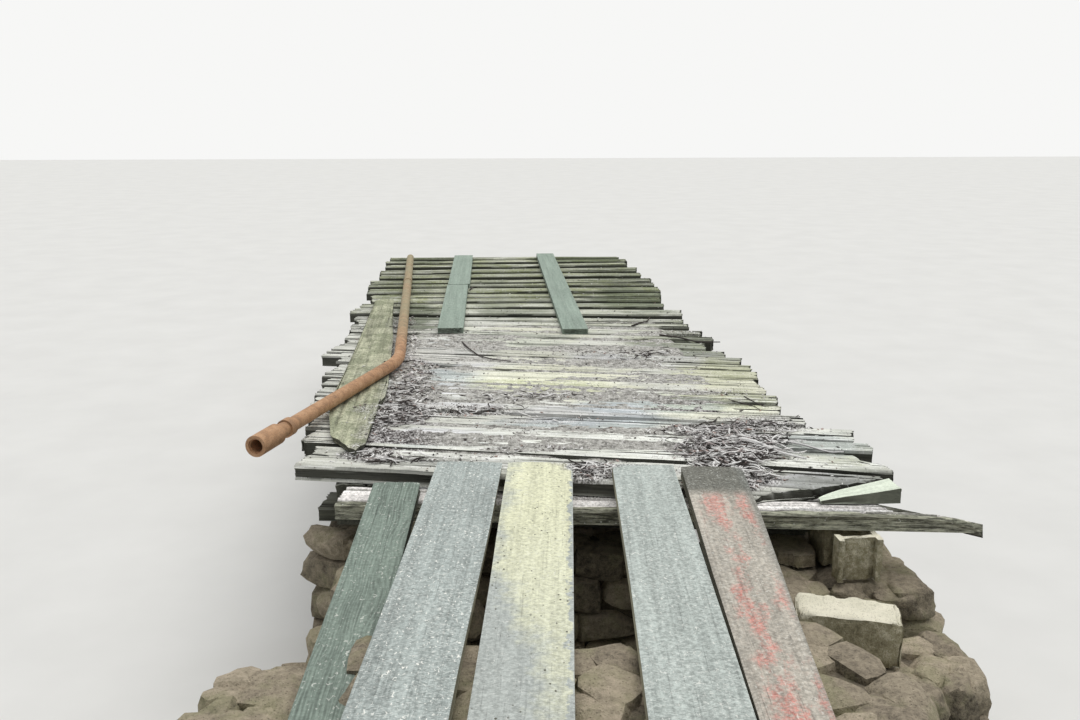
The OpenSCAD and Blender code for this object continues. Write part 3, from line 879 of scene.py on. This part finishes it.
SILVER = (0.72, 0.72, 0.67)
sawn = {"grain_dark": 0.15, "side": (0.3, 0.28, 0.19), "mottle": 0.3}
materials = {
    "timber": wood("weathered_timber", SILVER, fields=True, side_shade_amount=0.94, moss_amount=1.0,
                   side=(0.052, 0.053, 0.042)),
    "dark": wood("dark_timber", (0.3, 0.3, 0.265), contrast=0.6, moss=(0.17, 0.2, 0.09),
                 moss_amount=1.0),
    "grey": wood("grey_plank", (0.455, 0.5, 0.475), contrast=0.3, flecks=0.6, saw=0.5, **sawn),
    "dull": wood("dull_plank", (0.41, 0.455, 0.44), contrast=0.4, flecks=1.0, saw=0.6, **sawn),
    "swirled": wood("swirled_plank", (0.25, 0.305, 0.265), contrast=0.6, flecks=0.5, swirl=True,
                    grain_dark=0.2, mottle=0.2),
    "lichen": wood("lichen_plank", (0.445, 0.475, 0.455), contrast=0.2, flecks=0.3, saw=0.35,
                   lichen=((0.77, 0.77, 0.555), "plank"), grain_dark=0.1,
                   side=(0.2, 0.19, 0.13), mottle=0.22),
    "red": wood("red_stained_plank", (0.45, 0.415, 0.36), contrast=0.5, flecks=0.35, saw=0.35,
                paint=(0.64, 0.26, 0.22), grain_dark=0.3, side=(0.16, 0.16, 0.13), mottle=0.32),
    "green": wood("green_board", (0.305, 0.375, 0.32), contrast=0.2, flecks=0.2, saw=0.25,
                  grain_dark=0.2, mottle=0.25, side=(0.24, 0.29, 0.24)),
    "slab": wood("lichen_slab", (0.3, 0.315, 0.22), contrast=0.5,
                 lichen=((0.47, 0.475, 0.35), 0.46), moss_amount=0.2, grain_dark=0.3, mottle=0.4),
    "beam": wood("beam_timber", (0.92, 0.88, 0.86), contrast=0.45, moss_amount=0.2,
                 side=(0.24, 0.245, 0.175), mottle=0.4, front_shade_width=0.034),
    "pale": wood("split_timber", (0.83, 0.9, 0.76), contrast=0.2, grain_dark=0.1,
                 side=(0.11, 0.11, 0.08), mottle=0.12),
    "rust": rust(),
    "concrete": mineral("concrete", (0.42, 0.38, 0.26), (0.98, 0.93, 0.76), (0.11, 0.1, 0.055), 190,
                        top_pale=1.3, moss_amount=0.12),
    "rubble": mineral("rubble", (0.3, 0.26, 0.19), (0.62, 0.52, 0.4), (0.07, 0.06, 0.045), 150,
                      moss_amount=0.35, top_pale=0.35),
    "loose": loose("loose_chips"),
    "soil": soil(),
}


# Deck, planks and carriers

DECAYED = {1: 0.9, 2: 0.35, 3: 0.35, 4: 0.3, 5: 0.15}
FINE_TIMBERS = 8    # the nearest ones have the finer grid
for i, name in enumerate(TIMBERS, 1):
    column, step = (0.0068, 0.028) if i <= FINE_TIMBERS else (0.0078, 0.034)
    dressed_board(name, materials["timber"], "weathered_timber", seed=100 + i, column=column,
                  step=step, taper=i in (2, 3), cracks=6, furrow=0.0014,
                  decay=DECAYED.get(i, 0.03))
PLANKS = [("swirled", "grey_plank", (0.0, 0.0)), ("dull", "grey_plank", (0.011, 0.0)),
          ("lichen", "lichen_plank", (0.0, 0.007)), ("grey", "grey_plank", (0.0, 0.0)),
          ("red", "red_stained_plank", (0.0, 0.0))]
smooth = {"taper": True, "furrow": 0.0003, "cracks": 0}
for i, (key, slot, spread) in enumerate(PLANKS, 1):
    dressed_board(f"approach_plank_{i}", materials[key], slot, seed=200 + i, column=0.0068,
                  step=0.032, sag=0.002, ragged=0.004, spread=spread, **smooth)
for i, name in enumerate(["track_board_right", "track_board_left_far", "track_board_left_near"]):
    dressed_board(name, materials["green"], "green_board", seed=300 + i, column=0.009, step=0.05,
                  sag=0.001, ragged=0.003, **smooth)
dressed_board("side_slab", materials["slab"], "lichen_slab", seed=320, column=0.009,
              rows=2, taper=True, furrow=0.002, cracks=0, ragged=0.004, litter=0.45)
dressed_board("cross_beam", materials["beam"], "dark_timber", seed=330, decay=0.5, cracks=9,
              column=0.012)
dressed_board("loose_timber", materials["pale"], "weathered_timber", seed=340, step=0.02,
              cracks=0, furrow=0.0006, decay=0.05, taper=True)
for i, name in enumerate(STRINGERS):
    dressed_board(name, materials["dark"], "dark_timber", seed=350 + i, column=0.016, step=0.09,
                  rows=8, cracks=3, decay=0.3)
for i, name in enumerate(["near_sill", "far_sill"]):
    dressed_board(name, materials["dark"], "dark_timber", seed=360 + i, column=0.016, step=0.07,
                  rows=3, cracks=3, decay=0.3)

# Pipe: the tubes and rings of the frame carry the rust themselves

for name in ["pipe_far_run", "pipe_bend", "pipe_near_run", "pipe_couplings"]:
    slots = frame["nodes"][name].data.materials
    slots.clear()
    slots.append(materials["rust"])


# Concrete blocks and flat stones: the CAD solid, cut fine, with worn faces and chipped edges

def weathered_solid(name, slot, cell, wear, chip, seed):
    """The node cut into cells, its faces worn and its edges chipped by up to those depths."""
    sharp_bend, beside_edge = 0.6, 0.45
    co, tris = node_mesh(name)
    along = main_direction(co, tris)
    turn = np.array([[along[0], along[1], 0], [-along[1], along[0], 0], [0, 0, 1]])
    co = co @ turn.T
    bm = bmesh.new()
    corners = [bm.verts.new(p) for p in co]
    for tri in tris:
        try:
            bm.faces.new([corners[k] for k in tri])
        except ValueError:
            continue
    bmesh.ops.remove_doubles(bm, verts=bm.verts, dist=1e-5)
    for axis in range(3):
        low, high = co[:, axis].min(), co[:, axis].max()
        count = max(1, int(round((high - low) / cell)))
        normal = [1.0 if k == axis else 0.0 for k in range(3)]
        for place in np.linspace(low, high, count + 1)[1:-1]:
            centre = [n * place for n in normal]
            bmesh.ops.bisect_plane(bm, geom=bm.verts[:] + bm.edges[:] + bm.faces[:], dist=1e-6,
                                   plane_co=centre, plane_no=normal)
    bm.normal_update()
    bm.verts.index_update()
    points = np.array([v.co for v in bm.verts])
    normals = np.array([v.normal for v in bm.verts])
    edge = np.zeros(len(points))
    for e in bm.edges:
        if len(e.link_faces) == 2 and e.calc_face_angle(0) > sharp_bend:
            for v in e.verts:
                edge[v.index] = 1
    near = edge.copy()
    for e in bm.edges:
        a, b = e.verts[0].index, e.verts[1].index
        near[a] = max(near[a], beside_edge * edge[b])
        near[b] = max(near[b], beside_edge * edge[a])
    x, y, z = points.T
    broken = rise(fbm(x * 16, y * 16, z * 16, seed), 0.42, 0.72)
    inward = wear * fbm(x * 38, y * 38, z * 38, seed + 1) + chip * near * (0.15 + 0.85 * broken)
    verts = (points - normals * inward[:, None]) @ turn
    faces = [[v.index for v in f.verts] for f in bm.faces]
    bm.free()
    # The chipped edges get crevice shade, painted shade in the chips
    piece = mesh_object(name + "_weathered", verts, faces, materials[slot], sharp=30,
                        tone=np.full(len(verts), 0.5), cavity=0.5 * near * broken)
    return add_piece(piece, slot, name)


weathered_solid("hollow_blocks", "concrete", 0.014, 0.002, 0.010, 400)
weathered_solid("fallen_block", "concrete", 0.016, 0.003, 0.016, 410)
weathered_solid("bearing_stones", "rubble", 0.02, 0.012, 0.014, 420)


# Dry rubble: a core painted dark as shade, and separate stones laid in rough courses round and on
# it

def cube_grid(n):
    """The surface of a cube from -1 to 1, in n by n squares a side."""
    index, verts, faces = {}, [], []
    for axis in range(3):
        for side in (-1, 1):
            for i in range(n):
                for j in range(n):
                    square = []
                    for di, dj in ((0, 0), (1, 0), (1, 1), (0, 1)):
                        p = [0, 0, 0]
                        p[axis] = side * n
                        p[(axis + 1) % 3] = 2 * (i + di) - n
                        p[(axis + 2) % 3] = 2 * (j + dj) - n
                        if tuple(p) not in index:
                            index[tuple(p)] = len(verts)
                            verts.append(p)
                        square.append(index[tuple(p)])
                    faces.append(square if side > 0 else square[::-1])
    return np.array(verts, float) / n, np.array(faces)


PLAIN, FINE = 3, 9    # squares along a side of the cube that a stone is made from
CUBES = {n: cube_grid(n) for n in (PLAIN, FINE)}


def rock(rng, size, detail):
    """One stone: a rounded block, cut by a few planes, with a rough skin."""
    verts, faces = CUBES[detail]
    power = 6.0    # of the rounding: a higher one leaves a squarer block
    planes, nearest_plane = 9, 0.8
    p = verts / (np.sum(np.abs(verts) ** power, 1) ** (1 / power))[:, None]
    p = p * (0.9 + 0.1 * np.linalg.norm(verts, axis=1, keepdims=True) ** -1)
    for _ in range(planes):
        normal = rng.normal(size=3)
        normal /= np.linalg.norm(normal)
        limit = nearest_plane + 0.35 * rng.random()
        over = np.maximum(p @ normal - limit, 0)
        p = p - over[:, None] * normal
    offset = rng.random(3) * 50
    jagged = 0.22 if detail == FINE else 0.12
    rough = jagged * (fbm(*(p * 2.4 + offset).T, seed=5, octaves=4) - 0.5)
    p = p * (1 + rough)[:, None]
    return p * np.array(size) / 2, faces


def turned(points, yaw, tilt_x=0.0, tilt_y=0.0):
    cx, sx = math.cos(tilt_x), math.sin(tilt_x)
    cy, sy = math.cos(tilt_y), math.sin(tilt_y)
    cz, sz = math.cos(yaw), math.sin(yaw)
    rx = np.array([[1, 0, 0], [0, cx, -sx], [0, sx, cx]])
    ry = np.array([[cy, 0, sy], [0, 1, 0], [-sy, 0, cy]])
    rz = np.array([[cz, -sz, 0], [sz, cz, 0], [0, 0, 1]])
    return points @ (rz @ ry @ rx).T


class Heap:
    """Many small meshes that make one piece."""

    def __init__(self):
        self.verts, self.faces, self.tone, self.cavity, self.count = [], [], [], [], 0

    def take(self, verts, faces, tone, cavity=0.0):
        self.verts.append(verts)
        self.faces += [[int(k) + self.count for k in face] for face in faces]
        self.tone.append(np.full(len(verts), tone))
        self.cavity.append(np.full(len(verts), cavity))
        self.count += len(verts)

    def piece(self, name, material, slot, *replaced, sharp=35):
        verts = np.clip(np.vstack(self.verts), np.array(cad_low), np.array(cad_high))
        made = mesh_object(name, verts, self.faces, material, sharp=sharp,
                           tone=np.concatenate(self.tone), cavity=np.concatenate(self.cavity))
        return add_piece(made, slot, *replaced)


def outline_at(tree, centre, z, count=160):
    """Distance from a centre to the solid's side, all round, at one height."""
    start = Vector((centre[0], centre[1], z))
    reach = []
    for k in range(count):
        angle = 2 * math.pi * k / count
        hit = tree.ray_cast(start, Vector((math.cos(angle), math.sin(angle), 0)))[0]
        reach.append((hit - start).length if hit else np.nan)
    return filled(np.array(reach))


def ring_points(centre, reach, inset=0.0):
    angle = 2 * np.pi * np.arange(len(reach)) / len(reach)
    r = np.maximum(reach - inset, 0.02)
    return np.stack([centre[0] + r * np.cos(angle), centre[1] + r * np.sin(angle)], -1)


COURSE = 0.15
SHORTEST, LONGEST = 0.15, 0.34
CORE_SINK, CORE_LOWER = 0.07, 0.045    # of the core behind and below the stones' faces


def side_stones(heap, rng, outline, low, h, top, near):
    """One course of stones, h high, along a closed outline."""
    closed = np.vstack([outline, outline[:1]])
    run = np.concatenate([[0], np.cumsum(np.linalg.norm(np.diff(closed, axis=0), axis=1))])
    at = rng.random() * 0.2
    while at < run[-1]:
        length = SHORTEST + (LONGEST - SHORTEST) * rng.random()
        high = h * (0.82 + 0.42 * rng.random())
        deep = 0.13 + 0.09 * rng.random()
        here, ahead = (np.array([np.interp(place % run[-1], run, closed[:, a]) for a in (0, 1)])
                       for place in (at + length / 2, at + length * 0.7))
        yaw = math.atan2(*(ahead - here)[::-1])
        outward = np.array([math.sin(yaw), -math.cos(yaw)])
        place = here - outward * (deep / 2 - 0.022 * rng.random())
        z = min(low + h * 0.5 + jitter(rng, 0.02), top - 0.004 - high / 2)
        z = max(z, high / 2 + 0.002)
        detail = FINE if near and near(*place, z) else PLAIN
        p, faces = rock(rng, (length * 1.06, deep, high), detail)
        p = turned(p, yaw, jitter(rng, 0.10), jitter(rng, 0.12))
        p[:, 2] = np.minimum(p[:, 2] + z, top - CLEAR)
        p[:, :2] += place
        heap.take(p, faces, rng.random())
        at += length * (0.93 + 0.1 * rng.random())


def rubble_core(heap, centre, rings, top):
    """The inside of one mass, from (level, reach) rings, painted dark as the shade between the
    stones.
    """
    ceiling = top - CORE_LOWER
    rings = [(z, ring_points(centre, reach, CORE_SINK)) for z, reach in
             rings + [(ceiling, rings[-1][1])]]
    n = len(rings[0][1])
    verts = np.vstack([np.column_stack([ring, np.full(n, z)]) for z, ring in rings] +
                      [[[*centre, 0.0], [*centre, ceiling]]])
    faces = tube_faces(len(rings), n)
    last = (len(rings) - 1) * n
    for j in range(n):
        faces.append([(j + 1) % n, j, len(verts) - 2])
        faces.append([last + j, last + (j + 1) % n, len(verts) - 1])
    # Its low tone and crevice shade paint the core dark, as the shade that shows between the stones
    heap.take(verts, faces, 0.2, 0.55)


def top_stones(heap, rng, centre, reach, top, near):
    step, thick, rim = 0.15, 0.11, 0.10
    span = reach.max()
    angles = 2 * np.pi * np.arange(len(reach) + 1) / len(reach)
    for gx in np.arange(-span, span, step):
        for gy in np.arange(-span, span, step):
            x = gx + step * 0.7 * rng.random()
            y = gy + step * 0.7 * rng.random()
            limit = np.interp(math.atan2(y, x) % (2 * math.pi), angles, np.append(reach, reach[0]))
            if math.hypot(x, y) > limit - rim:
                continue
            px, py = centre[0] + x, centre[1] + y
            wide = 0.15 + 0.12 * rng.random()
            p, faces = rock(rng, (wide, wide * (0.7 + 0.3 * rng.random()), thick),
                            FINE if near and near(px, py, top) else PLAIN)
            p = turned(p, rng.random() * ROUND, jitter(rng, 0.14), jitter(rng, 0.14))
            p = p + [px, py, top - thick / 2 - 0.02 * rng.random()]
            p[:, 2] = np.minimum(p[:, 2], top - CLEAR)
            heap.take(p, faces, rng.random())


def stone_mass(heap, tree, centre, top, seed, near):
    """Stones round every course of one mass of rubble and over its top, on a dark core."""
    rng = np.random.default_rng(seed)
    courses = round(top / COURSE)
    h = top / courses
    rings = []
    for k in range(courses):
        reach = outline_at(tree, centre, (k + 0.5) * h)
        rings.append((k * h, reach))
        side_stones(heap, rng, ring_points(centre, reach), k * h, h, top, near)
    rubble_core(heap, centre, rings, top)
    top_stones(heap, rng, centre, rings[-1][1], top, near)


def close_view(x, y, z):
    """Whether the photo shows a stone there from close by."""
    return x > 0.55 and y < -0.3 and z > 0.35


def stone_wall(name, masses, near=None):
    """masses: the centre and top of each block of the node's rubble."""
    tree = search_tree(*node_mesh(name))
    heap = Heap()
    for k, (centre, top) in enumerate(masses):
        stone_mass(heap, tree, centre, top, 500 + 10 * k + len(name), near)
    heap.piece(name + "_stones", materials["rubble"], "rubble", name)


stone_wall("near_bearing_wall", [((-0.25, 0.45), BLOCK_FOOT)])
stone_wall("near_cheek", [((-0.74, -0.16), BLOCK_FOOT)])
stone_wall("near_wing", [((1.13, 0.15), BLOCK_FOOT), ((1.12, -0.86), WING_TOP)], close_view)
stone_wall("approach_footing", [((-0.06, -2.05), DECK_TOP), ((-1.17, -1.95), BEAM_TOP)])
stone_wall("far_abutment", [((0.0, 7.12), BLOCK_FOOT)])


# What lies on the deck: trodden litter in the joints, chips, shredded bark and twigs

def surface_below(names):
    """One search tree of the shown pieces that carry the litter."""
    verts, tris, count = [], [], 0
    for name in names:
        co, own = mesh_arrays(bpy.data.objects[name].data)
        verts.append(co)
        tris.append(own + count)
        count += len(co)
    return search_tree(np.vstack(verts), np.vstack(tris))


def top_at(tree, x, y):
    above, nothing = 1.6, -1.0
    hit = tree.ray_cast(Vector((x, y, above)), Vector((0, 0, -1)))[0]
    return hit.z if hit else nothing


deck_names = [name + "_worn" for name in TIMBERS]
timber_tree = surface_below(deck_names)


def fill_level(x, y):
    """Height of the trodden litter in the joints; it has fallen out of the far and outer ones."""
    packed = (1 - rise(y, 3.45, 4.15)) * (1 - rise(np.abs(x + 0.03), 1.0, 1.22))
    rough = fbm(x * 26, y * 26, seed=31) - 0.5
    mound = 0.013 * litter_at(x, y) ** 2
    loss = rise(fbm(x * 2.2, y * 3.2, seed=33), 0.62, 0.8) * 0.02
    inward = y + JOINT_SKEW * x
    full = rise(inward, 1.0, 1.3) * (1 - rise(y, 3.0, 3.4))
    open_joint = rise(noise(x * 0.5 + 4, inward * 4.1, seed=37), 0.5, 0.62) * 0.014
    open_joint = open_joint * (1 - 0.55 * full) - 0.004 * full
    decayed = 0.012 * (1 - rise(y + NEAR_SKEW * x, 0.25, 0.31))
    usual = DECK_TOP - 0.010 - 0.09 * (1 - packed)
    return usual + 0.010 * rough + mound - loss - open_joint - decayed


def joint_fill():
    """One sheet of litter, in square cells, wherever it lies above the timbers or between them."""
    cell, thick = 0.0125, 0.03
    deepest, lowest, timber_level = DECK_TOP - 0.075, 1.175, 1.0
    gx, gy = np.meshgrid(np.arange(-1.26, 1.42, cell), np.arange(0.0, 4.1, cell), indexing="ij")
    level = fill_level(gx, gy)
    under = np.zeros(gx.shape)
    for index in np.ndindex(gx.shape):
        under[index] = top_at(timber_tree, gx[index], gy[index])
    # The rotted right end of the first timber stands back
    behind = gy + NEAR_SKEW * gx - np.where(gx < 0.72, 0.05, 0.30)
    shown_here = (level > under - 0.004) & (level > deepest) & (level > lowest) & (behind > 0)
    cells = (shown_here[:-1, :-1] | shown_here[1:, :-1] | shown_here[1:, 1:] |
             shown_here[:-1, 1:])
    cells &= (level > deepest)[:-1, :-1] & (behind > 0)[:-1, :-1]
    # Only places with a timber near them can hold any litter
    held = under > timber_level
    cells &= held[:-1, :-1] | held[1:, 1:] | (level[:-1, :-1] > DECK_TOP - 0.04)
    use = np.zeros(gx.shape, bool)
    for dx in (0, 1):
        for dy in (0, 1):
            use[dx:dx + cells.shape[0], dy:dy + cells.shape[1]] |= cells
    n = int(use.sum())
    ids = np.zeros(gx.shape, int)
    ids[use] = np.arange(n)
    upper = np.stack([gx[use], gy[use], level[use]], -1)
    lower = upper - [0, 0, thick]
    tops = np.stack([ids[:-1, :-1][cells], ids[1:, :-1][cells],
                     ids[1:, 1:][cells], ids[:-1, 1:][cells]], -1)
    faces = tops.tolist() + (tops[:, ::-1] + n).tolist()
    edges = {(quad[k], quad[(k + 1) % 4]): True for quad in tops.tolist() for k in range(4)}
    faces += [[q, p, p + n, q + n] for p, q in edges if (q, p) not in edges]
    piece = mesh_object("trodden_litter", np.vstack([upper, lower]), faces, materials["soil"],
                        sharp=0)
    return add_piece(piece, "rubble")


joint_fill()
deck_tree = surface_below(deck_names + ["trodden_litter", "side_slab_worn", "cross_beam_worn"])

CHIP = np.array([[1, 0, 0], [-1, 0, 0], [0, 1, 0], [0, -1, 0], [0, 0, 1], [0, 0, -1]], float)
CHIP_FACES = np.array([[0, 2, 4], [2, 1, 4], [1, 3, 4], [3, 0, 4],
                       [2, 0, 5], [1, 2, 5], [3, 1, 5], [0, 3, 5]])


def deck_chips():
    """Flat chips, scales and dead leaves."""
    rng = np.random.default_rng(61)
    heap = Heap()
    tries, lowest, off_slab = 60000, 1.19, 0.85
    x = -1.25 + 2.75 * rng.random(tries)
    y = -0.12 + 6.6 * rng.random(tries)
    thick = litter_at(x, y)
    keep = rng.random(tries) < 0.05 * (1 - 0.6 * rise(y, 3.6, 4.4)) + 0.6 * thick ** 1.2
    for px, py, amount in zip(x[keep], y[keep], thick[keep]):
        z = top_at(deck_tree, px, py)
        if z < lowest or (z > SLAB_LEVEL and rng.random() < off_slab):
            continue
        long = (0.005 + 0.014 * rng.random() ** 2) * (0.8 + 0.5 * amount)
        size = [long, long * (0.18 + 0.34 * rng.random()), 0.0015 + 0.003 * rng.random()]
        p = turned(CHIP * size, rng.random() * ROUND, jitter(rng, 0.9), jitter(rng, 0.9))
        tone = rng.random()
        heap.take(p + [px, py, z + 0.003 + 0.006 * amount * rng.random()], CHIP_FACES, tone)
    heap.piece("deck_chips", materials["loose"], "dark_timber", sharp=20)


def splinter(rng, length, width, bend):
    """A strip of bark or wood with a four-sided section, bent along its length."""
    places = np.linspace(-0.5, 0.5, 5)
    arch = places ** 2 * 4    # 1 at both ends, 0 in the middle
    curve = bend * length * (arch - 0.5)
    lift = 0.12 * length * (rng.random() - 0.3) * (1 - arch)
    section = np.array([[-1, -0.35], [1, -0.35], [0.8, 0.4], [-0.8, 0.4]]) * width / 2
    verts = []
    for k, place in enumerate(places):
        slim = 0.35 + 0.65 * (1 - (abs(place) * 2) ** 2.5)
        for a, b in section * slim:
            verts.append([place * length, curve[k] + a, lift[k] + b])
    last = 4 * (len(places) - 1)
    faces = tube_faces(len(places), 4, outward=False)
    faces += [[0, 1, 2, 3], [last + 3, last + 2, last + 1, last]]
    return np.array(verts), faces


# Heaps of shreds: centre x and y, radii and number
SHREDS = [(0.82, 0.02, 0.12, 0.07, 200), (0.74, 0.12, 0.14, 0.10, 260),
          (0.84, 0.26, 0.20, 0.10, 260), (0.80, 0.44, 0.26, 0.10, 170),
          (0.84, 0.66, 0.36, 0.12, 110), (0.10, 0.14, 0.14, 0.10, 90),
          (1.05, 0.48, 0.16, 0.08, 40), (-0.80, 0.34, 0.2, 0.08, 70),
          (-0.82, 1.08, 0.16, 0.25, 150), (-0.80, 1.60, 0.12, 0.35, 140),
          (-0.1, 1.38, 0.3, 0.06, 60), (0.7, 2.35, 0.3, 0.15, 60), (-0.4, 1.1, 0.3, 0.1, 60)]


SHRED_TONES = [0.04, 0.08, 0.45, 1.0, 1.0, 1.0]


def shredded_bark():
    rng = np.random.default_rng(67)
    heap = Heap()
    lowest, off_slab = 1.22, 0.8
    for cx, cy, rx, ry, count in SHREDS:
        for _ in range(count):
            px, py = cx + rx * rng.normal() * 0.5, cy + ry * rng.normal() * 0.5
            z = top_at(deck_tree, px, py)
            if z < lowest or (z > SLAB_LEVEL and rng.random() < off_slab):
                continue
            long = 0.025 + 0.10 * rng.random() ** 1.6
            p, faces = splinter(rng, long, 0.003 + 0.008 * rng.random(), jitter(rng, 0.5))
            yaw = rng.normal() * 0.8 - 0.3
            p = turned(p, yaw, jitter(rng, 0.5), jitter(rng, 0.22))
            tone = SHRED_TONES[rng.integers(len(SHRED_TONES))] * (0.8 + 0.2 * rng.random())
            heap.take(p + [px, py, z + 0.006 + 0.018 * rng.random()], faces, tone)
    heap.piece("shredded_bark", materials["loose"], "dark_timber", sharp=25)


def rod(points, thick):
    """A tapering round stick through given points."""
    sides, between, taper = 6, 4, 0.55
    points = np.array(points, float)
    steps = np.linspace(0, len(points) - 1, (len(points) - 1) * between + 1)
    path = np.stack([np.interp(steps, range(len(points)), points[:, a]) for a in range(3)], -1)
    path[1:-1] = (path[:-2] + 2 * path[1:-1] + path[2:]) / 4
    verts = []
    for k, p in enumerate(path):
        ahead = path[min(k + 1, len(path) - 1)] - path[max(k - 1, 0)]
        ahead /= np.linalg.norm(ahead)
        side = np.cross(ahead, [0, 0, 1.0])
        side /= np.linalg.norm(side)
        up = np.cross(side, ahead)
        radius = thick / 2 * (1 - taper * k / len(path))
        for j in range(sides):
            angle = 2 * math.pi * j / sides
            verts.append(p + radius * (math.cos(angle) * side + math.sin(angle) * up))
    last = (len(path) - 1) * sides
    faces = tube_faces(len(path), sides)
    faces += [list(range(sides))[::-1], [last + j for j in range(sides)]]
    return np.array(verts), faces


# Twigs: points in plan, thickness and tone
TWIGS = [([(-0.47, 2.85), (-0.43, 2.62), (-0.36, 2.42), (-0.27, 2.29), (-0.16, 2.24)], 0.011, 0.12),
         ([(-0.40, 5.03), (-0.37, 5.14), (-0.33, 5.25)], 0.012, 0.1),
         ([(0.80, 3.32), (0.88, 3.38), (0.95, 3.50), (0.99, 3.62)], 0.016, 0.1),
         ([(0.72, 2.25), (0.75, 2.34), (0.80, 2.42), (0.92, 2.44)], 0.008, 0.15),
         ([(0.95, 2.98), (1.06, 2.86), (1.18, 2.76), (1.33, 2.72)], 0.014, 0.12),
         ([(0.84, 0.50), (0.93, 0.40), (1.02, 0.27), (1.10, 0.14)], 0.022, 0.85),
         ([(0.98, 0.48), (1.05, 0.42), (1.10, 0.33)], 0.015, 0.9),
         ([(1.06, 0.50), (1.16, 0.40), (1.27, 0.30), (1.33, 0.28)], 0.013, 0.6),
         ([(1.02, 1.25), (1.12, 1.12), (1.14, 1.02)], 0.007, 0.15),
         ([(1.12, 1.30), (1.16, 1.14), (1.24, 1.0)], 0.006, 0.15),
         ([(-0.78, 2.30), (-0.86, 2.22), (-0.97, 2.18)], 0.012, 0.1),
         ([(0.62, 0.36), (0.76, 0.33), (0.90, 0.24)], 0.012, 0.5)]


def twigs():
    heap = Heap()
    lowest = 1.235    # a twig spans the joints
    for plan, thick, tone in TWIGS:
        points = []
        for k, (px, py) in enumerate(plan):
            lift = thick * (0.55 + 0.5 * (k % 2))
            points.append((px, py, max(top_at(deck_tree, px, py), lowest) + lift))
        heap.take(*rod(points, thick), tone)
    heap.piece("twigs", materials["loose"], "dark_timber", sharp=0)


deck_chips()
shredded_bark()
twigs()


# Camera, light and floor

def aimed(name, data, degrees):
    made = shown(name, data)
    made.rotation_euler = [math.radians(angle) for angle in degrees]
    return made


camera_data = bpy.data.cameras.new("camera")
camera_data.lens = 35.0
camera_data.sensor_width = 36.0
camera = aimed("camera", camera_data, (76.61, 0.0, -4.24))
camera.location = (-0.46, -4.35, 2.83)
bpy.context.scene.camera = camera
bpy.context.scene.view_settings.view_transform = "Standard"

sun_data = bpy.data.lights.new("soft_sky_light", "SUN")
sun_data.energy = 2.2
sun_data.angle = math.radians(75)
sun_data.color = (1.0, 0.99, 0.96)
aimed("soft_sky_light", sun_data, (-8, 8, 0))


def pale_backdrop():
    """A dim sky lights the bridge; the camera and reflections see a pale room instead."""
    world = bpy.data.worlds.new("pale_room")
    bpy.context.scene.world = world
    world.use_nodes = True
    nodes, links = world.node_tree.nodes, world.node_tree.links
    light, seen = nodes["Background"], nodes.new("ShaderNodeBackground")
    for node, colour, strength in ((light, (0.95, 0.98, 1.0, 1), 0.36),
                                   (seen, (0.93, 0.93, 0.92, 1), 1.0)):
        node.inputs["Color"].default_value = colour
        node.inputs["Strength"].default_value = strength
    path = nodes.new("ShaderNodeLightPath")
    sees_room = path.outputs["Is Camera Ray"]
    for ray in ("Is Glossy Ray", "Is Transmission Ray"):
        either = nodes.new("ShaderNodeMath")
        either.operation = "MAXIMUM"
        links.new(sees_room, either.inputs[0])
        links.new(path.outputs[ray], either.inputs[1])
        sees_room = either.outputs[0]
    mixed = nodes.new("ShaderNodeMixShader")
    for socket, source in enumerate((sees_room, light.outputs[0], seen.outputs[0])):
        links.new(source, mixed.inputs[socket])
    links.new(mixed.outputs[0], nodes["World Output"].inputs["Surface"])


def pale_floor():
    half, level = 60.0, -0.002
    corners = [(x * half, y * half, level) for x, y in ((-1, -1), (1, -1), (1, 1), (-1, 1))]
    mesh = bpy.data.meshes.new("floor")
    mesh.from_pydata(corners, [], [(0, 1, 2, 3)])
    p = Paint("pale_floor", roughness=0.95, specular=0.1)
    tone = p.noise(p.place(), 1.5, 3)
    colour = p.ramp(tone, [(0.3, (0.74, 0.735, 0.72)), (0.7, (0.78, 0.775, 0.76))])
    mesh.materials.append(p.finish(colour, tone, 0.001, 0.2))
    floor = shown("floor", mesh)


pale_backdrop()
pale_floor()
